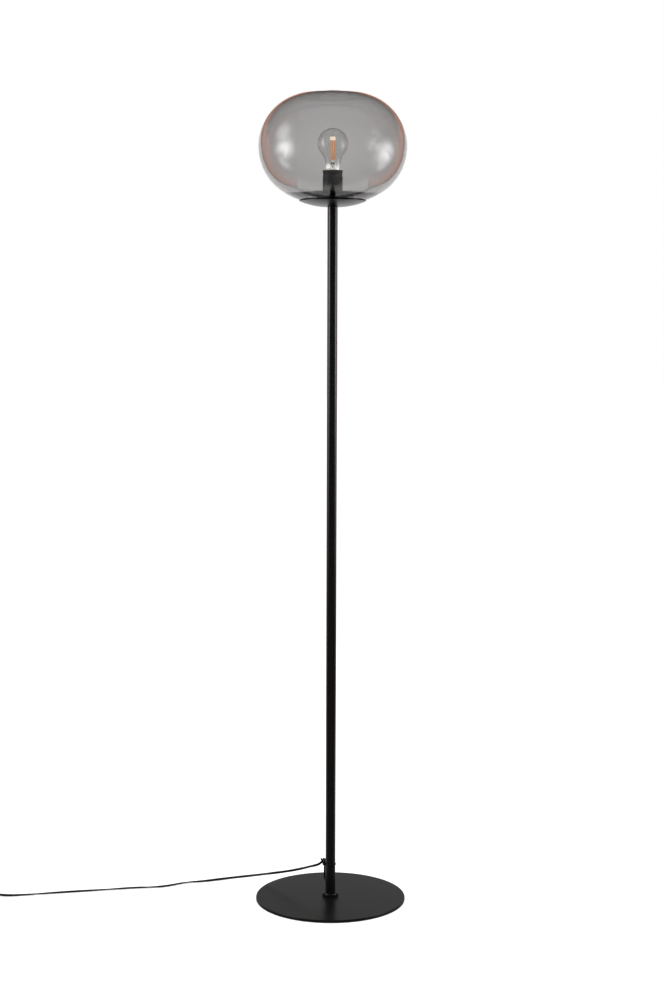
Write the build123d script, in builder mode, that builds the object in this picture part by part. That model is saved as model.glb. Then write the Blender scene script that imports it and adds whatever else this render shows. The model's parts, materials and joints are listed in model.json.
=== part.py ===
"""Globe floor lamp: smoked glass globe on a slim sectioned pole with a round base.

Millimetres, +Z up. The origin is the middle of the face that rests on the floor.
+X is to the right and +Y to the back, as the lamp is seen from the front.
"""

from math import acos, cos, degrees, pi, radians, sin, sqrt, tan
import os

from build123d import *

os.makedirs("parts", exist_ok=True)

# ---------------------------------------------------------------- driving sizes
# base
base_d = 285.6
base_t = 5.0
base_edge_r = 1.2
pad_t = 0.8
pad_inset = 4.0
pad_hole_d = 24.0

# flange that the pole stands on, and the screw that holds it
flange_d = 31.0
flange_t = 6.6
flange_chamfer = 1.4
flange_spigot_l = 12.0
foot_screw_d = 8.0
foot_screw_l = 18.0
foot_head_d = 15.8
foot_head_t = 4.0
foot_socket_d = 5.0
foot_socket_depth = 2.6

# pole
pole_d = 19.0
pole_wall = 1.2
section_l = 341.0
full_sections = 3
top_section_l = 278.6
tube_edge = 0.3
insert_l = 16.0
stud_d = 10.0
stud_l = 11.0
stud_bore_d = 7.0

# cord and its exit
cord_d = 4.8
exit_h = 31.0
exit_angle = 120.0
grommet_neck_d = 7.0
grommet_flange_d = 10.0
grommet_proud = 1.55
exit_run = 7.4
cable_bend_r = 6.0
tie_h = 68.0
tie_w = 2.6
tie_t = 0.9
tie_head_w = 4.4
tie_head_h = 4.4
tie_head_t = 3.0
tie_side = 208.0
tie_tail_l = 13.0
tie_tail_lean = (-0.40, -0.10, 0.91)

# which run of the cord's route the tie holds, counted from 0
tie_run = 4

# shade carrier
dish_d = 123.2
dish_depth = 11.6
dish_sheet = 1.2
dish_flat_d = 26.0
dish_lip_h = 0.9
dish_sag_share = 0.29
gasket_t = 0.8
gasket_w = 1.6
gallery_d = 119.2
gallery_rise = 8.6
gallery_edge_r = 1.0
disc_d = 70.4
disc_t = 2.8
disc_edge_r = 0.6
nut_across = 16.0
nut_t = 3.0
tooth_washer_d = 17.0
tooth_washer_t = 0.7
tooth_count = 12
spacer_d = 15.0
nipple_proud = 0.6

# lampholder
holder_d = 36.9
holder_h = 42.7
holder_cap_h = 12.2
holder_wall = 2.0
holder_floor = 2.4
holder_mouth_d = 28.9
holder_lip_t = 2.0
shell_spigot_l = 3.6
groove_top_below_rim = 5.7
groove_h = 5.4
groove_depth = 0.7
joint_chamfer = 0.35
core_d = 29.6
core_h = 12.0
core_roof_t = 4.4
core_wall = 2.4
sleeve_bore_d = 26.9
sleeve_t = 0.4
sleeve_l = 24.0
sleeve_mouth_d = 18.0
contact_strip_l = 13.0
contact_strip_w = 5.0
contact_strip_t = 0.5
contact_dome_d = 5.0
contact_dome_h = 0.75
terminal_w = 6.0
terminal_t = 4.6
terminal_h = 6.0
terminal_pitch = 13.0
terminal_screw_d = 2.6
terminal_screw_l = 3.4
terminal_head_d = 4.2
terminal_head_t = 1.1
core_wire_d = 2.0
core_pitch = 2.2
core_bend_r = 1.2
core_grip = 1.4
cable_above_nipple = 0.2

# glass globe
globe_d = 273.8
globe_wall = 2.8
equator_above_seat = 97.3
globe_open_d = 120.8
upper_r1 = 96.4
upper_turn_1 = 63.0
upper_r2 = 113.7
upper_turn_2 = 73.5
lower_r1 = 97.4
lower_turn_1 = 58.1
lower_r2 = 159.1
crown_above_equator = 99.9
crown_d = 42.0
crown_step_w = 7.0
crown_step_h = 1.5

# bulb, a clear A60 with an E27 cap
bulb_d = 57.2
bulb_l = 104.0
bulb_neck_d = 27.6
bulb_neck_l = 6.0
bulb_glass_t = 0.8
bulb_hollow_r = 34.0
cap_d = 26.1
cap_root_d = 24.4
cap_l = 21.8
cap_pitch = 3.63
cap_threads = 4
cap_skirt_l = 2.0
cap_skirt_step = 1.6
thread_root_share = 0.1
thread_crest_shares = (0.38, 0.72)
cap_sheet = 0.4
cap_insulator_l = 3.4
cap_tip_d = 9.6
cap_tip_t = 1.0
stem_foot_d = 21.4
stem_neck_d = 7.0
stem_h = 22.6
stem_wall = 0.9
stem_flare = 1.2
stem_flare_share = 0.42
stem_shoulder_h = 1.5
stem_rod_d = 3.0
stem_rod_l = 10.0
filament_d = 2.1
filament_l = 36.0
filament_spread_d = 6.4
filament_count = 4
filament_crown_d = 10.2
filament_crown_h = 6.2
filament_above_stem = 1.8
tip_wire_l = 6.6
lead_wire_d = 0.7

# free cord: route of its middle line, from its first run out of the pole to the switch
lead_route = [
    (-10.85, 18.9, 34.4),
    (-10.9, 18.7, 39.4),
    (-10.9, 16.0, 46.4),
    (-10.8, 11.6, 55.0),
    (-10.7, 8.2, 62.2),
    (-10.7, 7.1, 69.0),
    (-10.9, 9.4, 73.2),
    (-11.6, 14.3, 74.3),
    (-13.4, 18.7, 71.4),
    (-16.0, 20.6, 65.8),
    (-21.2, 21.6, 61.0),
    (-29.0, 22.6, 57.7),
    (-40.0, 25.6, 54.4),
    (-58.0, 37.0, 46.0),
    (-82.9, 56.0, 35.1),
    (-110.9, 77.0, 24.7),
    (-139.1, 93.0, 16.0),
    (-166.2, 102.5, 9.8),
    (-195.1, 106.5, 5.2),
    (-223.7, 103.5, 2.6),
    (-251.5, 92.6, 2.45),
    (-285.8, 86.0, 2.45),
    (-320.0, 62.0, 2.45),
    (-348.5, 55.3, 2.45),
    (-383.5, 52.3, 2.45),
    (-440.5, 39.0, 2.45),
    (-501.0, 27.2, 2.45),
    (-562.7, 13.5, 2.45),
    (-603.5, 4.1, 2.45),
    (-629.0, 0.6, 3.4),
    (-648.0, 0.0, 6.6),
    (-662.0, 0.0, 8.0),
    (-676.0, 0.0, 8.0),
]

# hand switch on the cord, its middle and its sizes
switch_x = -703.0
switch_l = 62.0
switch_w = 25.0
switch_h = 17.0
switch_split = 8.0
switch_wall = 2.0
switch_end_wall = 9.0
switch_corner_r = 9.0
switch_edge_r = 2.0
rocker_l = 20.0
rocker_w = 10.8
rocker_gap = 0.35
rocker_end_gap = 0.9
rocker_pivot_h = 13.5
rocker_tilt = 7.0
rocker_wing_h = 4.2
rocker_valley_h = 3.2
rocker_belly_h = 3.0
rocker_edge_r = 0.5
trunnion_d = 2.8
trunnion_gap = 0.06
cheek_t = 2.4
cheek_l = 7.0
cheek_foot = 1.0
switch_screw_pitch = 46.0
switch_screw_inset = 5.6
switch_screw_d = 2.6
switch_screw_l = 10.0
switch_head_d = 4.8
switch_head_t = 1.6
blade_l = 9.0
blade_w = 4.0
blade_t = 0.5
blade_gap = 4.0
blade_y = 4.6
through_core_y = -4.0

# coil of the cord that is put away
coil_x = -794.0
coil_entry_y = -1.5
coil_outer_r = 34.0
coil_pitch = 6.35
coil_layer_h = 5.45
coil_layers = 4
coil_half_turns = 4
coil_lift = 0.75
coil_tie_angle = 102.0
coil_tie_w = 3.4
coil_tie_t = 0.6
coil_tie_gap = 0.12

# mains plug
plug_y = 67.2
plug_front_x = -683.0
plug_w = 35.3
plug_t = 13.7
plug_l = 37.0
plug_corner = 5.2
plug_rear_w = 13.0
plug_rear_t = 10.4
plug_front_l = 14.8
plug_edge_r = 1.6
plug_step = 1.0
plug_shoulder_r = 5.0
relief_l = 22.0
relief_root_d = 9.0
relief_tip_d = 6.2
relief_rings = 5
relief_cut_w = 1.1
relief_cut_depth = 0.7
pin_d = 4.0
pin_l = 19.0
pin_pitch = 18.6
pin_tip_r = 1.4
pin_core_d = 2.0
pin_sleeve_d = 3.8
pin_sleeve_l = 10.0

# clearances
press_gap = 0.05
thread_gap = 0.05
cord_gap = 0.05
hole_gap = 0.1
bulb_seat_gap = 0.25

# ---------------------------------------------------------------- heights and radii
pole_r = pole_d / 2
pole_bore_r = pole_r - pole_wall
insert_r = pole_bore_r - press_gap
stud_r = stud_d / 2
stud_hole_r = stud_r + thread_gap
cord_r = cord_d / 2
cord_hole_r = cord_r + cord_gap

base_top = pad_t + base_t
pole_foot = base_top + flange_t
seams = [pole_foot + section_l * k for k in range(1, full_sections + 1)]
pole_top = pole_foot + section_l * full_sections + top_section_l
dish_rim = pole_top + dish_depth
glass_seat = dish_rim + gasket_t
gallery_top = glass_seat + gallery_rise
disc_top = gallery_top + disc_t
holder_top = disc_top + holder_h
equator = glass_seat + equator_above_seat
crown = equator + crown_above_equator
core_top = disc_top + holder_floor + core_h
contact_top = core_top + contact_strip_t + contact_dome_h
bulb_bottom = contact_top + bulb_seat_gap
bulb_top = bulb_bottom + bulb_l
cap_skirt = bulb_bottom + cap_tip_t + cap_insulator_l
cap_rim = cap_skirt + cap_l

exit_dir = Vector(cos(radians(exit_angle)), sin(radians(exit_angle)), 0)
exit_point = Vector(0, 0, exit_h)
cord_start = pole_r + grommet_proud


def turned(radius, low, high):
    """A disc drawn at low and extruded up to high, in the open part."""
    with BuildSketch(Plane.XY.offset(low)) as disc:
        Circle(radius)
    extrude(disc.sketch, amount=high - low)


def bored(radius, low, high):
    """A round hole on the lamp's axis from low to high, in the open part."""
    with BuildSketch(Plane.XY.offset(low)) as disc:
        Circle(radius)
    extrude(disc.sketch, amount=high - low, mode=Mode.SUBTRACT)


def spun(points):
    """A closed outline of (radius, height) points, spun round the lamp's axis."""
    with BuildSketch(Plane.XZ) as outline:
        with BuildLine():
            Polyline(*points, close=True)
        make_face()
    revolve(outline.sketch, axis=Axis.Z)


def bend_radii(points, share=0.45):
    """For each corner of a route, 0.45 of its shorter run over the tangent of half its turn."""
    route = [Vector(*p) for p in points]
    radii = []
    for before, corner, after in zip(route, route[1:], route[2:]):
        arrive = corner - before
        leave = after - corner
        half_turn = radians(arrive.get_angle(leave)) / 2
        radii.append(share * min(arrive.length, leave.length) / tan(half_turn))
    return radii


def tube_length(path):
    """Length of a tube's middle line."""
    return path.wires()[0].length


def report_tube(label, tube, path):
    """Prints a tube's length, its volume, and its section times its length."""
    length = tube_length(path)
    print(label, round(length, 1), round(tube.volume, 1), round(pi * cord_r**2 * length, 1))


# ---------------------------------------------------------------- base
with BuildPart() as base_plate:
    turned(base_d / 2, pad_t, base_top)
    fillet(base_plate.edges().group_by(Axis.Z)[-1], base_edge_r)
    chamfer(base_plate.edges().group_by(Axis.Z)[0], base_edge_r / 3)
    bored(foot_screw_d / 2 + hole_gap, pad_t, base_top)
    with BuildSketch(Plane.XZ):
        with BuildLine():
            Polyline(
                (0, pad_t),
                (foot_head_d / 2 + hole_gap, pad_t),
                (foot_screw_d / 2 + hole_gap, pad_t + foot_head_t),
                (0, pad_t + foot_head_t),
                close=True,
            )
        make_face()
    revolve(axis=Axis.Z, mode=Mode.SUBTRACT)
base_plate.part.label = "base_plate"
export_step(base_plate.part, "parts/base_plate.step")

with BuildPart() as base_pad:
    turned(base_d / 2 - pad_inset, 0, pad_t)
    bored(pad_hole_d / 2, 0, pad_t)
base_pad.part.label = "base_pad"
export_step(base_pad.part, "parts/base_pad.step")

# The pole stands on the flange's top face, round the spigot.
with BuildPart() as foot_flange:
    turned(flange_d / 2, base_top, pole_foot)
    chamfer(foot_flange.edges().group_by(Axis.Z)[-1], flange_chamfer)
    turned(insert_r, pole_foot, pole_foot + flange_spigot_l)
    chamfer(foot_flange.edges().group_by(Axis.Z)[-1], joint_chamfer)
    bored(foot_screw_d / 2 + thread_gap, base_top, pole_foot + flange_spigot_l)
foot_flange.part.label = "foot_flange"
export_step(foot_flange.part, "parts/foot_flange.step")

with BuildPart() as foot_screw:
    spun(
        [
            (0, pad_t),
            (foot_head_d / 2, pad_t),
            (foot_screw_d / 2, pad_t + foot_head_t - hole_gap),
            (foot_screw_d / 2, pad_t + foot_screw_l),
            (0, pad_t + foot_screw_l),
        ]
    )
    with BuildSketch(Plane.XY.offset(pad_t)):
        RegularPolygon(foot_socket_d / 2, 6, major_radius=False)
    extrude(amount=foot_socket_depth, mode=Mode.SUBTRACT)
foot_screw.part.label = "foot_screw"
export_step(foot_screw.part, "parts/foot_screw.step")

# ---------------------------------------------------------------- pole
tube_ends = [pole_foot, *seams, pole_top]
for number, (low, high) in enumerate(zip(tube_ends, tube_ends[1:]), start=1):
    with BuildPart() as pole_tube:
        turned(pole_r, low, high)
        chamfer(pole_tube.edges(), tube_edge)
        bored(pole_bore_r, low, high)
        if number == 1:
            with BuildSketch(Plane(exit_point, z_dir=exit_dir)):
                Circle(grommet_neck_d / 2 + hole_gap)
            extrude(amount=pole_d, mode=Mode.SUBTRACT)
    pole_tube.part.label = f"pole_tube_{number}"
    export_step(pole_tube.part, f"parts/pole_tube_{number}.step")

# At each seam a threaded socket ends the lower tube and a spigot ends the upper one.
with BuildPart() as joint_sockets:
    for seam in seams:
        turned(insert_r, seam - insert_l, seam)
    for seam in seams:
        bored(stud_hole_r, seam - insert_l, seam)
joint_sockets.part.label = "joint_sockets"
export_step(joint_sockets.part, "parts/joint_sockets.step")

with BuildPart() as joint_spigots:
    for seam in seams:
        turned(insert_r, seam, seam + insert_l)
        turned(stud_r, seam - stud_l, seam)
    for seam in seams:
        bored(stud_bore_d / 2, seam - stud_l, seam + insert_l)
joint_spigots.part.label = "joint_spigots"
export_step(joint_spigots.part, "parts/joint_spigots.step")

with BuildPart() as pole_head:
    turned(insert_r, pole_top - insert_l, pole_top)
    bored(stud_hole_r, pole_top - insert_l, pole_top)
pole_head.part.label = "pole_head"
export_step(pole_head.part, "parts/pole_head.step")

# ---------------------------------------------------------------- shade carrier
dish_r = dish_d / 2
dish_flat_r = dish_flat_d / 2
dish_edge = dish_rim - dish_lip_h
dish_middle_r = (dish_r + dish_flat_r) / 2
dish_sag = (dish_edge - pole_top) * dish_sag_share

with BuildPart() as dish:
    with BuildSketch(Plane.XZ):
        with BuildLine():
            Line((stud_hole_r, pole_top), (dish_flat_r, pole_top))
            ThreePointArc(
                (dish_flat_r, pole_top),
                (dish_middle_r, pole_top + dish_sag),
                (dish_r, dish_edge),
            )
            Polyline(
                (dish_r, dish_edge),
                (dish_r, dish_rim),
                (dish_r - gasket_w, dish_rim),
                (dish_r - gasket_w, dish_edge + dish_sheet / 2),
            )
            ThreePointArc(
                (dish_r - gasket_w, dish_edge + dish_sheet / 2),
                (dish_middle_r - dish_sheet / 4, pole_top + dish_sag + dish_sheet),
                (dish_flat_r - dish_sheet / 4, pole_top + dish_sheet),
            )
            Polyline(
                (dish_flat_r - dish_sheet / 4, pole_top + dish_sheet),
                (stud_hole_r, pole_top + dish_sheet),
                (stud_hole_r, pole_top),
            )
        make_face()
    revolve(axis=Axis.Z)
dish.part.label = "dish"
export_step(dish.part, "parts/dish.step")

with BuildPart() as shade_gasket:
    turned(dish_r, dish_rim, glass_seat)
    bored(dish_r - gasket_w, dish_rim, glass_seat)
shade_gasket.part.label = "shade_gasket"
export_step(shade_gasket.part, "parts/shade_gasket.step")

# The gallery stands in the dish, and the glass drops over it.
gallery_r = gallery_d / 2
gallery_foot = dish_edge + dish_sheet
with BuildPart() as gallery:
    turned(gallery_r, gallery_foot, gallery_top)
    fillet(gallery.edges().group_by(Axis.Z)[-1], gallery_edge_r)
    bored(gallery_r - dish_sheet, gallery_foot, gallery_top - dish_sheet)
    bored(stud_hole_r, gallery_foot, gallery_top)
gallery.part.label = "gallery"
export_step(gallery.part, "parts/gallery.step")

with BuildPart() as holder_disc:
    turned(disc_d / 2, gallery_top, disc_top)
    fillet(holder_disc.edges().group_by(Axis.Z)[-1], disc_edge_r)
    bored(stud_hole_r, gallery_top, disc_top)
holder_disc.part.label = "holder_disc"
export_step(holder_disc.part, "parts/holder_disc.step")

nipple_low = pole_top - stud_l
nipple_high = disc_top + holder_floor + nipple_proud
with BuildPart() as nipple:
    turned(stud_r, nipple_low, nipple_high)
    chamfer(nipple.edges(), joint_chamfer)
    bored(stud_bore_d / 2, nipple_low, nipple_high)
nipple.part.label = "nipple"
export_step(nipple.part, "parts/nipple.step")

washer_low = pole_top + dish_sheet
nut_low = washer_low + tooth_washer_t
nut_high = nut_low + nut_t
with BuildPart() as tooth_washer:
    turned(tooth_washer_d / 2, washer_low, nut_low)
    with BuildSketch(Plane.XY.offset(washer_low)):
        with PolarLocations(tooth_washer_d / 2, tooth_count):
            Circle(tooth_washer_t)
    extrude(amount=tooth_washer_t, mode=Mode.SUBTRACT)
    bored(stud_hole_r, washer_low, nut_low)
tooth_washer.part.label = "tooth_washer"
export_step(tooth_washer.part, "parts/tooth_washer.step")

with BuildPart() as lock_nut:
    with BuildSketch(Plane.XY.offset(nut_low)):
        RegularPolygon(nut_across / 2, 6, major_radius=False)
        Circle(stud_hole_r, mode=Mode.SUBTRACT)
    extrude(amount=nut_t)
lock_nut.part.label = "lock_nut"
export_step(lock_nut.part, "parts/lock_nut.step")

with BuildPart() as spacer:
    turned(spacer_d / 2, nut_high, gallery_top - dish_sheet)
    bored(stud_hole_r, nut_high, gallery_top - dish_sheet)
spacer.part.label = "spacer"
export_step(spacer.part, "parts/spacer.step")

# ---------------------------------------------------------------- lampholder
holder_r = holder_d / 2
cap_floor = disc_top + holder_floor
holder_seam = disc_top + holder_cap_h
with BuildPart() as holder_cap:
    turned(holder_r, disc_top, holder_seam)
    chamfer(holder_cap.edges().group_by(Axis.Z)[-1], joint_chamfer)
    bored(holder_r - holder_wall, cap_floor, holder_seam)
    bored(stud_hole_r, disc_top, cap_floor)
holder_cap.part.label = "holder_cap"
export_step(holder_cap.part, "parts/holder_cap.step")

# A spigot on the shell's lower end sits inside the cap.
shell_bore_r = core_d / 2 + press_gap
shell_spigot_r = holder_r - holder_wall - press_gap
shell_spigot_low = holder_seam - shell_spigot_l
groove_top = holder_top - groove_top_below_rim
with BuildPart() as holder_shell:
    turned(holder_r, holder_seam, holder_top)
    chamfer(holder_shell.edges().group_by(Axis.Z)[0], joint_chamfer)
    fillet(holder_shell.edges().group_by(Axis.Z)[-1], joint_chamfer)
    turned(shell_spigot_r, shell_spigot_low, holder_seam)
    bored(shell_bore_r, shell_spigot_low, holder_top - holder_lip_t)
    bored(holder_mouth_d / 2, holder_top - holder_lip_t, holder_top)
    with BuildSketch(Plane.XY.offset(groove_top - groove_h)):
        Circle(holder_r)
        Circle(holder_r - groove_depth, mode=Mode.SUBTRACT)
    extrude(amount=groove_h, mode=Mode.SUBTRACT)
holder_shell.part.label = "holder_shell"
export_step(holder_shell.part, "parts/holder_shell.step")

core_r = core_d / 2
with BuildPart() as holder_core:
    turned(core_r, cap_floor, core_top)
    bored(core_r - core_wall, cap_floor, core_top - core_roof_t)
holder_core.part.label = "holder_core"
export_step(holder_core.part, "parts/holder_core.step")

sleeve_r = sleeve_bore_d / 2 + sleeve_t
with BuildPart() as screw_shell:
    turned(sleeve_r, core_top, core_top + sleeve_l)
    bored(sleeve_bore_d / 2, core_top + sleeve_t, core_top + sleeve_l)
    bored(sleeve_mouth_d / 2, core_top, core_top + sleeve_t)
screw_shell.part.label = "screw_shell"
export_step(screw_shell.part, "parts/screw_shell.step")

with BuildPart() as centre_contact:
    with BuildSketch(Plane.XY.offset(core_top)):
        RectangleRounded(contact_strip_l, contact_strip_w, contact_strip_w / 4)
    extrude(amount=contact_strip_t)
    turned(contact_dome_d / 2, core_top + contact_strip_t, contact_top)
    fillet(centre_contact.edges().group_by(Axis.Z)[-1], contact_dome_h / 2)
centre_contact.part.label = "centre_contact"
export_step(centre_contact.part, "parts/centre_contact.step")

terminal_high = core_top - core_roof_t
terminal_low = terminal_high - terminal_h
terminal_middle = terminal_low + terminal_h / 2
with BuildPart() as terminals:
    with BuildSketch(Plane.XY.offset(terminal_low)):
        with Locations((-terminal_pitch / 2, 0), (terminal_pitch / 2, 0)):
            Rectangle(terminal_w, terminal_t)
    extrude(amount=terminal_h)
    with BuildSketch(Plane.XZ.offset(terminal_t / 2)):
        with Locations((-terminal_pitch / 2, terminal_middle), (terminal_pitch / 2, terminal_middle)):
            Circle(terminal_screw_d / 2 + thread_gap)
    extrude(amount=-terminal_screw_l, mode=Mode.SUBTRACT)
    for side in (-1, 1):
        inner_face = Vector(side * (terminal_pitch - terminal_w) / 2, 0, terminal_middle)
        with BuildSketch(Plane(inner_face, z_dir=(side, 0, 0))):
            Circle(core_wire_d / 2 + cord_gap)
        extrude(amount=core_grip, mode=Mode.SUBTRACT)
terminals.part.label = "terminals"
export_step(terminals.part, "parts/terminals.step")

with BuildPart() as terminal_screws:
    with BuildSketch(Plane.XZ.offset(terminal_t / 2)):
        with Locations((-terminal_pitch / 2, terminal_middle), (terminal_pitch / 2, terminal_middle)):
            Circle(terminal_screw_d / 2)
    extrude(amount=-terminal_screw_l)
    with BuildSketch(Plane.XZ.offset(terminal_t / 2)):
        with Locations((-terminal_pitch / 2, terminal_middle), (terminal_pitch / 2, terminal_middle)):
            Circle(terminal_head_d / 2)
    extrude(amount=terminal_head_t)
terminal_screws.part.label = "terminal_screws"
export_step(terminal_screws.part, "parts/terminal_screws.step")

# ---------------------------------------------------------------- glass globe
globe_r = globe_d / 2


def globe_outline(inset):
    """Half the globe's outline: two arcs below the equator, two above, and a low crown."""
    low_turn = radians(lower_turn_1)
    top_turn = radians(upper_turn_1)
    crown_turn = radians(upper_turn_2)
    low_mid = (globe_r - lower_r1, equator)
    low_far = (
        low_mid[0] + (lower_r1 - lower_r2) * cos(low_turn),
        low_mid[1] - (lower_r1 - lower_r2) * sin(low_turn),
    )
    top_mid = (globe_r - upper_r1, equator)
    top_far = (
        top_mid[0] + (upper_r1 - upper_r2) * cos(top_turn),
        top_mid[1] + (upper_r1 - upper_r2) * sin(top_turn),
    )
    shoulder = (
        top_far[0] + (upper_r2 - inset) * cos(crown_turn),
        top_far[1] + (upper_r2 - inset) * sin(crown_turn),
    )
    # The lowest arc ends well inside the opening, which is cut afterwards.
    end_r = globe_open_d / 4
    end_turn = degrees(acos((end_r - low_far[0]) / (lower_r2 - inset)))
    end_z = low_far[1] - (lower_r2 - inset) * sin(radians(end_turn))
    top = crown - inset
    CenterArc(low_far, lower_r2 - inset, -end_turn, end_turn - lower_turn_1)
    CenterArc(low_mid, lower_r1 - inset, -lower_turn_1, lower_turn_1)
    CenterArc(top_mid, upper_r1 - inset, 0, upper_turn_1)
    CenterArc(top_far, upper_r2 - inset, upper_turn_1, upper_turn_2 - upper_turn_1)
    FilletPolyline(
        shoulder,
        (crown_d / 2 + crown_step_w, top - crown_step_h),
        (crown_d / 2, top),
        (0, top),
        radius=(crown_step_w, crown_step_w),
    )
    Polyline((0, top), (0, end_z), (end_r, end_z))


with BuildPart() as glass_globe:
    with BuildSketch(Plane.XZ):
        with BuildLine():
            globe_outline(0)
        make_face()
    revolve(axis=Axis.Z)
    with BuildSketch(Plane.XZ):
        with BuildLine():
            globe_outline(globe_wall)
        make_face()
    revolve(axis=Axis.Z, mode=Mode.SUBTRACT)
    bored(globe_open_d / 2, pole_top - dish_depth, equator - globe_r / 2)
    bored(globe_r, pole_top - dish_depth, glass_seat)
glass_globe.part.label = "glass_globe"
export_step(glass_globe.part, "parts/glass_globe.step")

# ---------------------------------------------------------------- bulb
bulb_r = bulb_d / 2
bulb_mid = bulb_top - bulb_r
neck_r = bulb_neck_d / 2
cap_root_r = cap_root_d / 2


def bulb_outline(inset):
    """Half the bulb's outline: a straight neck, a hollow curve, and a ball."""
    ball_r = bulb_r - inset
    straight_r = neck_r - inset
    hollow_r = bulb_hollow_r + inset
    # The hollow curve touches the ball from outside and ends level on the neck.
    hollow_mid_r = neck_r + bulb_hollow_r
    hollow_mid_z = bulb_mid - sqrt((bulb_r + bulb_hollow_r) ** 2 - hollow_mid_r**2)
    share = ball_r / (ball_r + hollow_r)
    touch = (hollow_mid_r * share, bulb_mid + (hollow_mid_z - bulb_mid) * share)
    mouth_r = cap_root_r - cap_sheet - hole_gap - inset
    mouth_z = cap_rim - cap_l / 4
    Polyline(
        (0, mouth_z),
        (mouth_r, mouth_z),
        (mouth_r, cap_rim),
        (straight_r, cap_rim + bulb_neck_l / 2),
        (straight_r, hollow_mid_z),
    )
    lean = radians(10)
    ThreePointArc(
        (straight_r, hollow_mid_z),
        (hollow_mid_r - hollow_r * cos(lean), hollow_mid_z + hollow_r * sin(lean)),
        touch,
    )
    ThreePointArc(touch, (ball_r, bulb_mid), (0, bulb_mid + ball_r))
    Line((0, bulb_mid + ball_r), (0, mouth_z))


with BuildPart() as bulb_glass:
    with BuildSketch(Plane.XZ):
        with BuildLine():
            bulb_outline(0)
        make_face()
    revolve(axis=Axis.Z)
    with BuildSketch(Plane.XZ):
        with BuildLine():
            bulb_outline(bulb_glass_t)
        make_face()
    revolve(axis=Axis.Z, mode=Mode.SUBTRACT)
bulb_glass.part.label = "bulb_glass"
export_step(bulb_glass.part, "parts/bulb_glass.step")

# The cap's thread is drawn as rings, which touch the sleeve in no position.
cap_r = cap_d / 2
thread_low = cap_skirt + cap_skirt_l
cap_foot_r = cap_root_r - cap_skirt_step
cap_outside = [(cap_foot_r, cap_skirt), (cap_root_r, thread_low)]
for ring in range(cap_threads):
    ring_low = thread_low + cap_pitch * ring
    cap_outside += [
        (cap_root_r, ring_low + cap_pitch * thread_root_share),
        (cap_r, ring_low + cap_pitch * thread_crest_shares[0]),
        (cap_r, ring_low + cap_pitch * thread_crest_shares[1]),
        (cap_root_r, ring_low + cap_pitch),
    ]
with BuildPart() as bulb_cap:
    spun([(0, cap_skirt), *cap_outside, (cap_root_r, cap_rim), (0, cap_rim)])
    bored(cap_root_r - cap_sheet, thread_low, cap_rim)
    bored(cap_foot_r - cap_sheet, cap_skirt, thread_low)
bulb_cap.part.label = "bulb_cap"
export_step(bulb_cap.part, "parts/bulb_cap.step")

with BuildPart() as cap_insulator:
    spun(
        [
            (0, bulb_bottom + cap_tip_t),
            (cap_tip_d / 2, bulb_bottom + cap_tip_t),
            (cap_foot_r, cap_skirt),
            (0, cap_skirt),
        ]
    )
cap_insulator.part.label = "cap_insulator"
export_step(cap_insulator.part, "parts/cap_insulator.step")

with BuildPart() as tip_contact:
    turned(cap_tip_d / 2, bulb_bottom, bulb_bottom + cap_tip_t)
    fillet(tip_contact.edges().group_by(Axis.Z)[0], cap_tip_t / 2)
tip_contact.part.label = "tip_contact"
export_step(tip_contact.part, "parts/tip_contact.step")

# A flared glass stem stands in the neck and carries the filaments on wires.
stem_low = cap_rim - cap_l / 4 + bulb_glass_t + hole_gap
stem_high = stem_low + stem_h
rod_high = stem_high + stem_rod_l
with BuildPart() as bulb_stem:
    with BuildSketch(Plane.XZ):
        with BuildLine():
            Polyline((0, rod_high), (0, stem_low), (stem_foot_d / 2, stem_low))
            Spline(
                (stem_foot_d / 2, stem_low),
                (stem_neck_d / 2 + stem_flare, stem_low + stem_h * stem_flare_share),
                (stem_neck_d / 2, stem_high),
                tangents=[(-0.25, 1), (0, 1)],
            )
            Polyline(
                (stem_neck_d / 2, stem_high),
                (stem_rod_d / 2, stem_high + stem_shoulder_h),
                (stem_rod_d / 2, rod_high),
                (0, rod_high),
            )
        make_face()
    revolve(axis=Axis.Z)
    with BuildSketch(Plane.XZ):
        with BuildLine():
            Polyline(
                (0, stem_low),
                (stem_foot_d / 2 - stem_wall * 2, stem_low),
                (stem_neck_d / 2, stem_low + stem_h * stem_flare_share),
                (stem_neck_d / 2 - stem_wall, stem_high - 2 * stem_wall),
                (0, stem_high - 2 * stem_wall),
                close=True,
            )
        make_face()
    revolve(axis=Axis.Z, mode=Mode.SUBTRACT)
bulb_stem.part.label = "bulb_stem"
export_step(bulb_stem.part, "parts/bulb_stem.step")

filament_low = stem_high + filament_above_stem
filament_high = filament_low + filament_l
with BuildPart() as filaments:
    with BuildSketch(Plane.XY.offset(filament_low)):
        with PolarLocations(filament_spread_d / 2, filament_count):
            Circle(filament_d / 2)
    extrude(amount=filament_l)
filaments.part.label = "filaments"
export_step(filaments.part, "parts/filaments.step")

# The crown joins the filaments' upper ends. A fine wire stands on it, and two cross in the stem.
with BuildPart() as filament_crown:
    turned(filament_crown_d / 2, filament_high, filament_high + filament_crown_h)
    fillet(filament_crown.edges().group_by(Axis.Z)[-1], filament_crown_h / 3)
filament_crown.part.label = "filament_crown"
export_step(filament_crown.part, "parts/filament_crown.step")

with BuildPart() as lead_wires:
    with BuildSketch(Plane.XY.offset(filament_high + filament_crown_h)):
        Circle(lead_wire_d / 2)
    extrude(amount=tip_wire_l)
    for side in (-1, 1):
        foot = Vector(side * stem_neck_d / 2, 0, stem_low + stem_wall)
        peak = Vector(-side * stem_neck_d / 4, 0, stem_high - 3 * stem_wall)
        with BuildSketch(Plane(foot, z_dir=peak - foot)):
            Circle(lead_wire_d / 2)
        extrude(amount=(peak - foot).length)
lead_wires.part.label = "lead_wires"
export_step(lead_wires.part, "parts/lead_wires.step")

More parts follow.
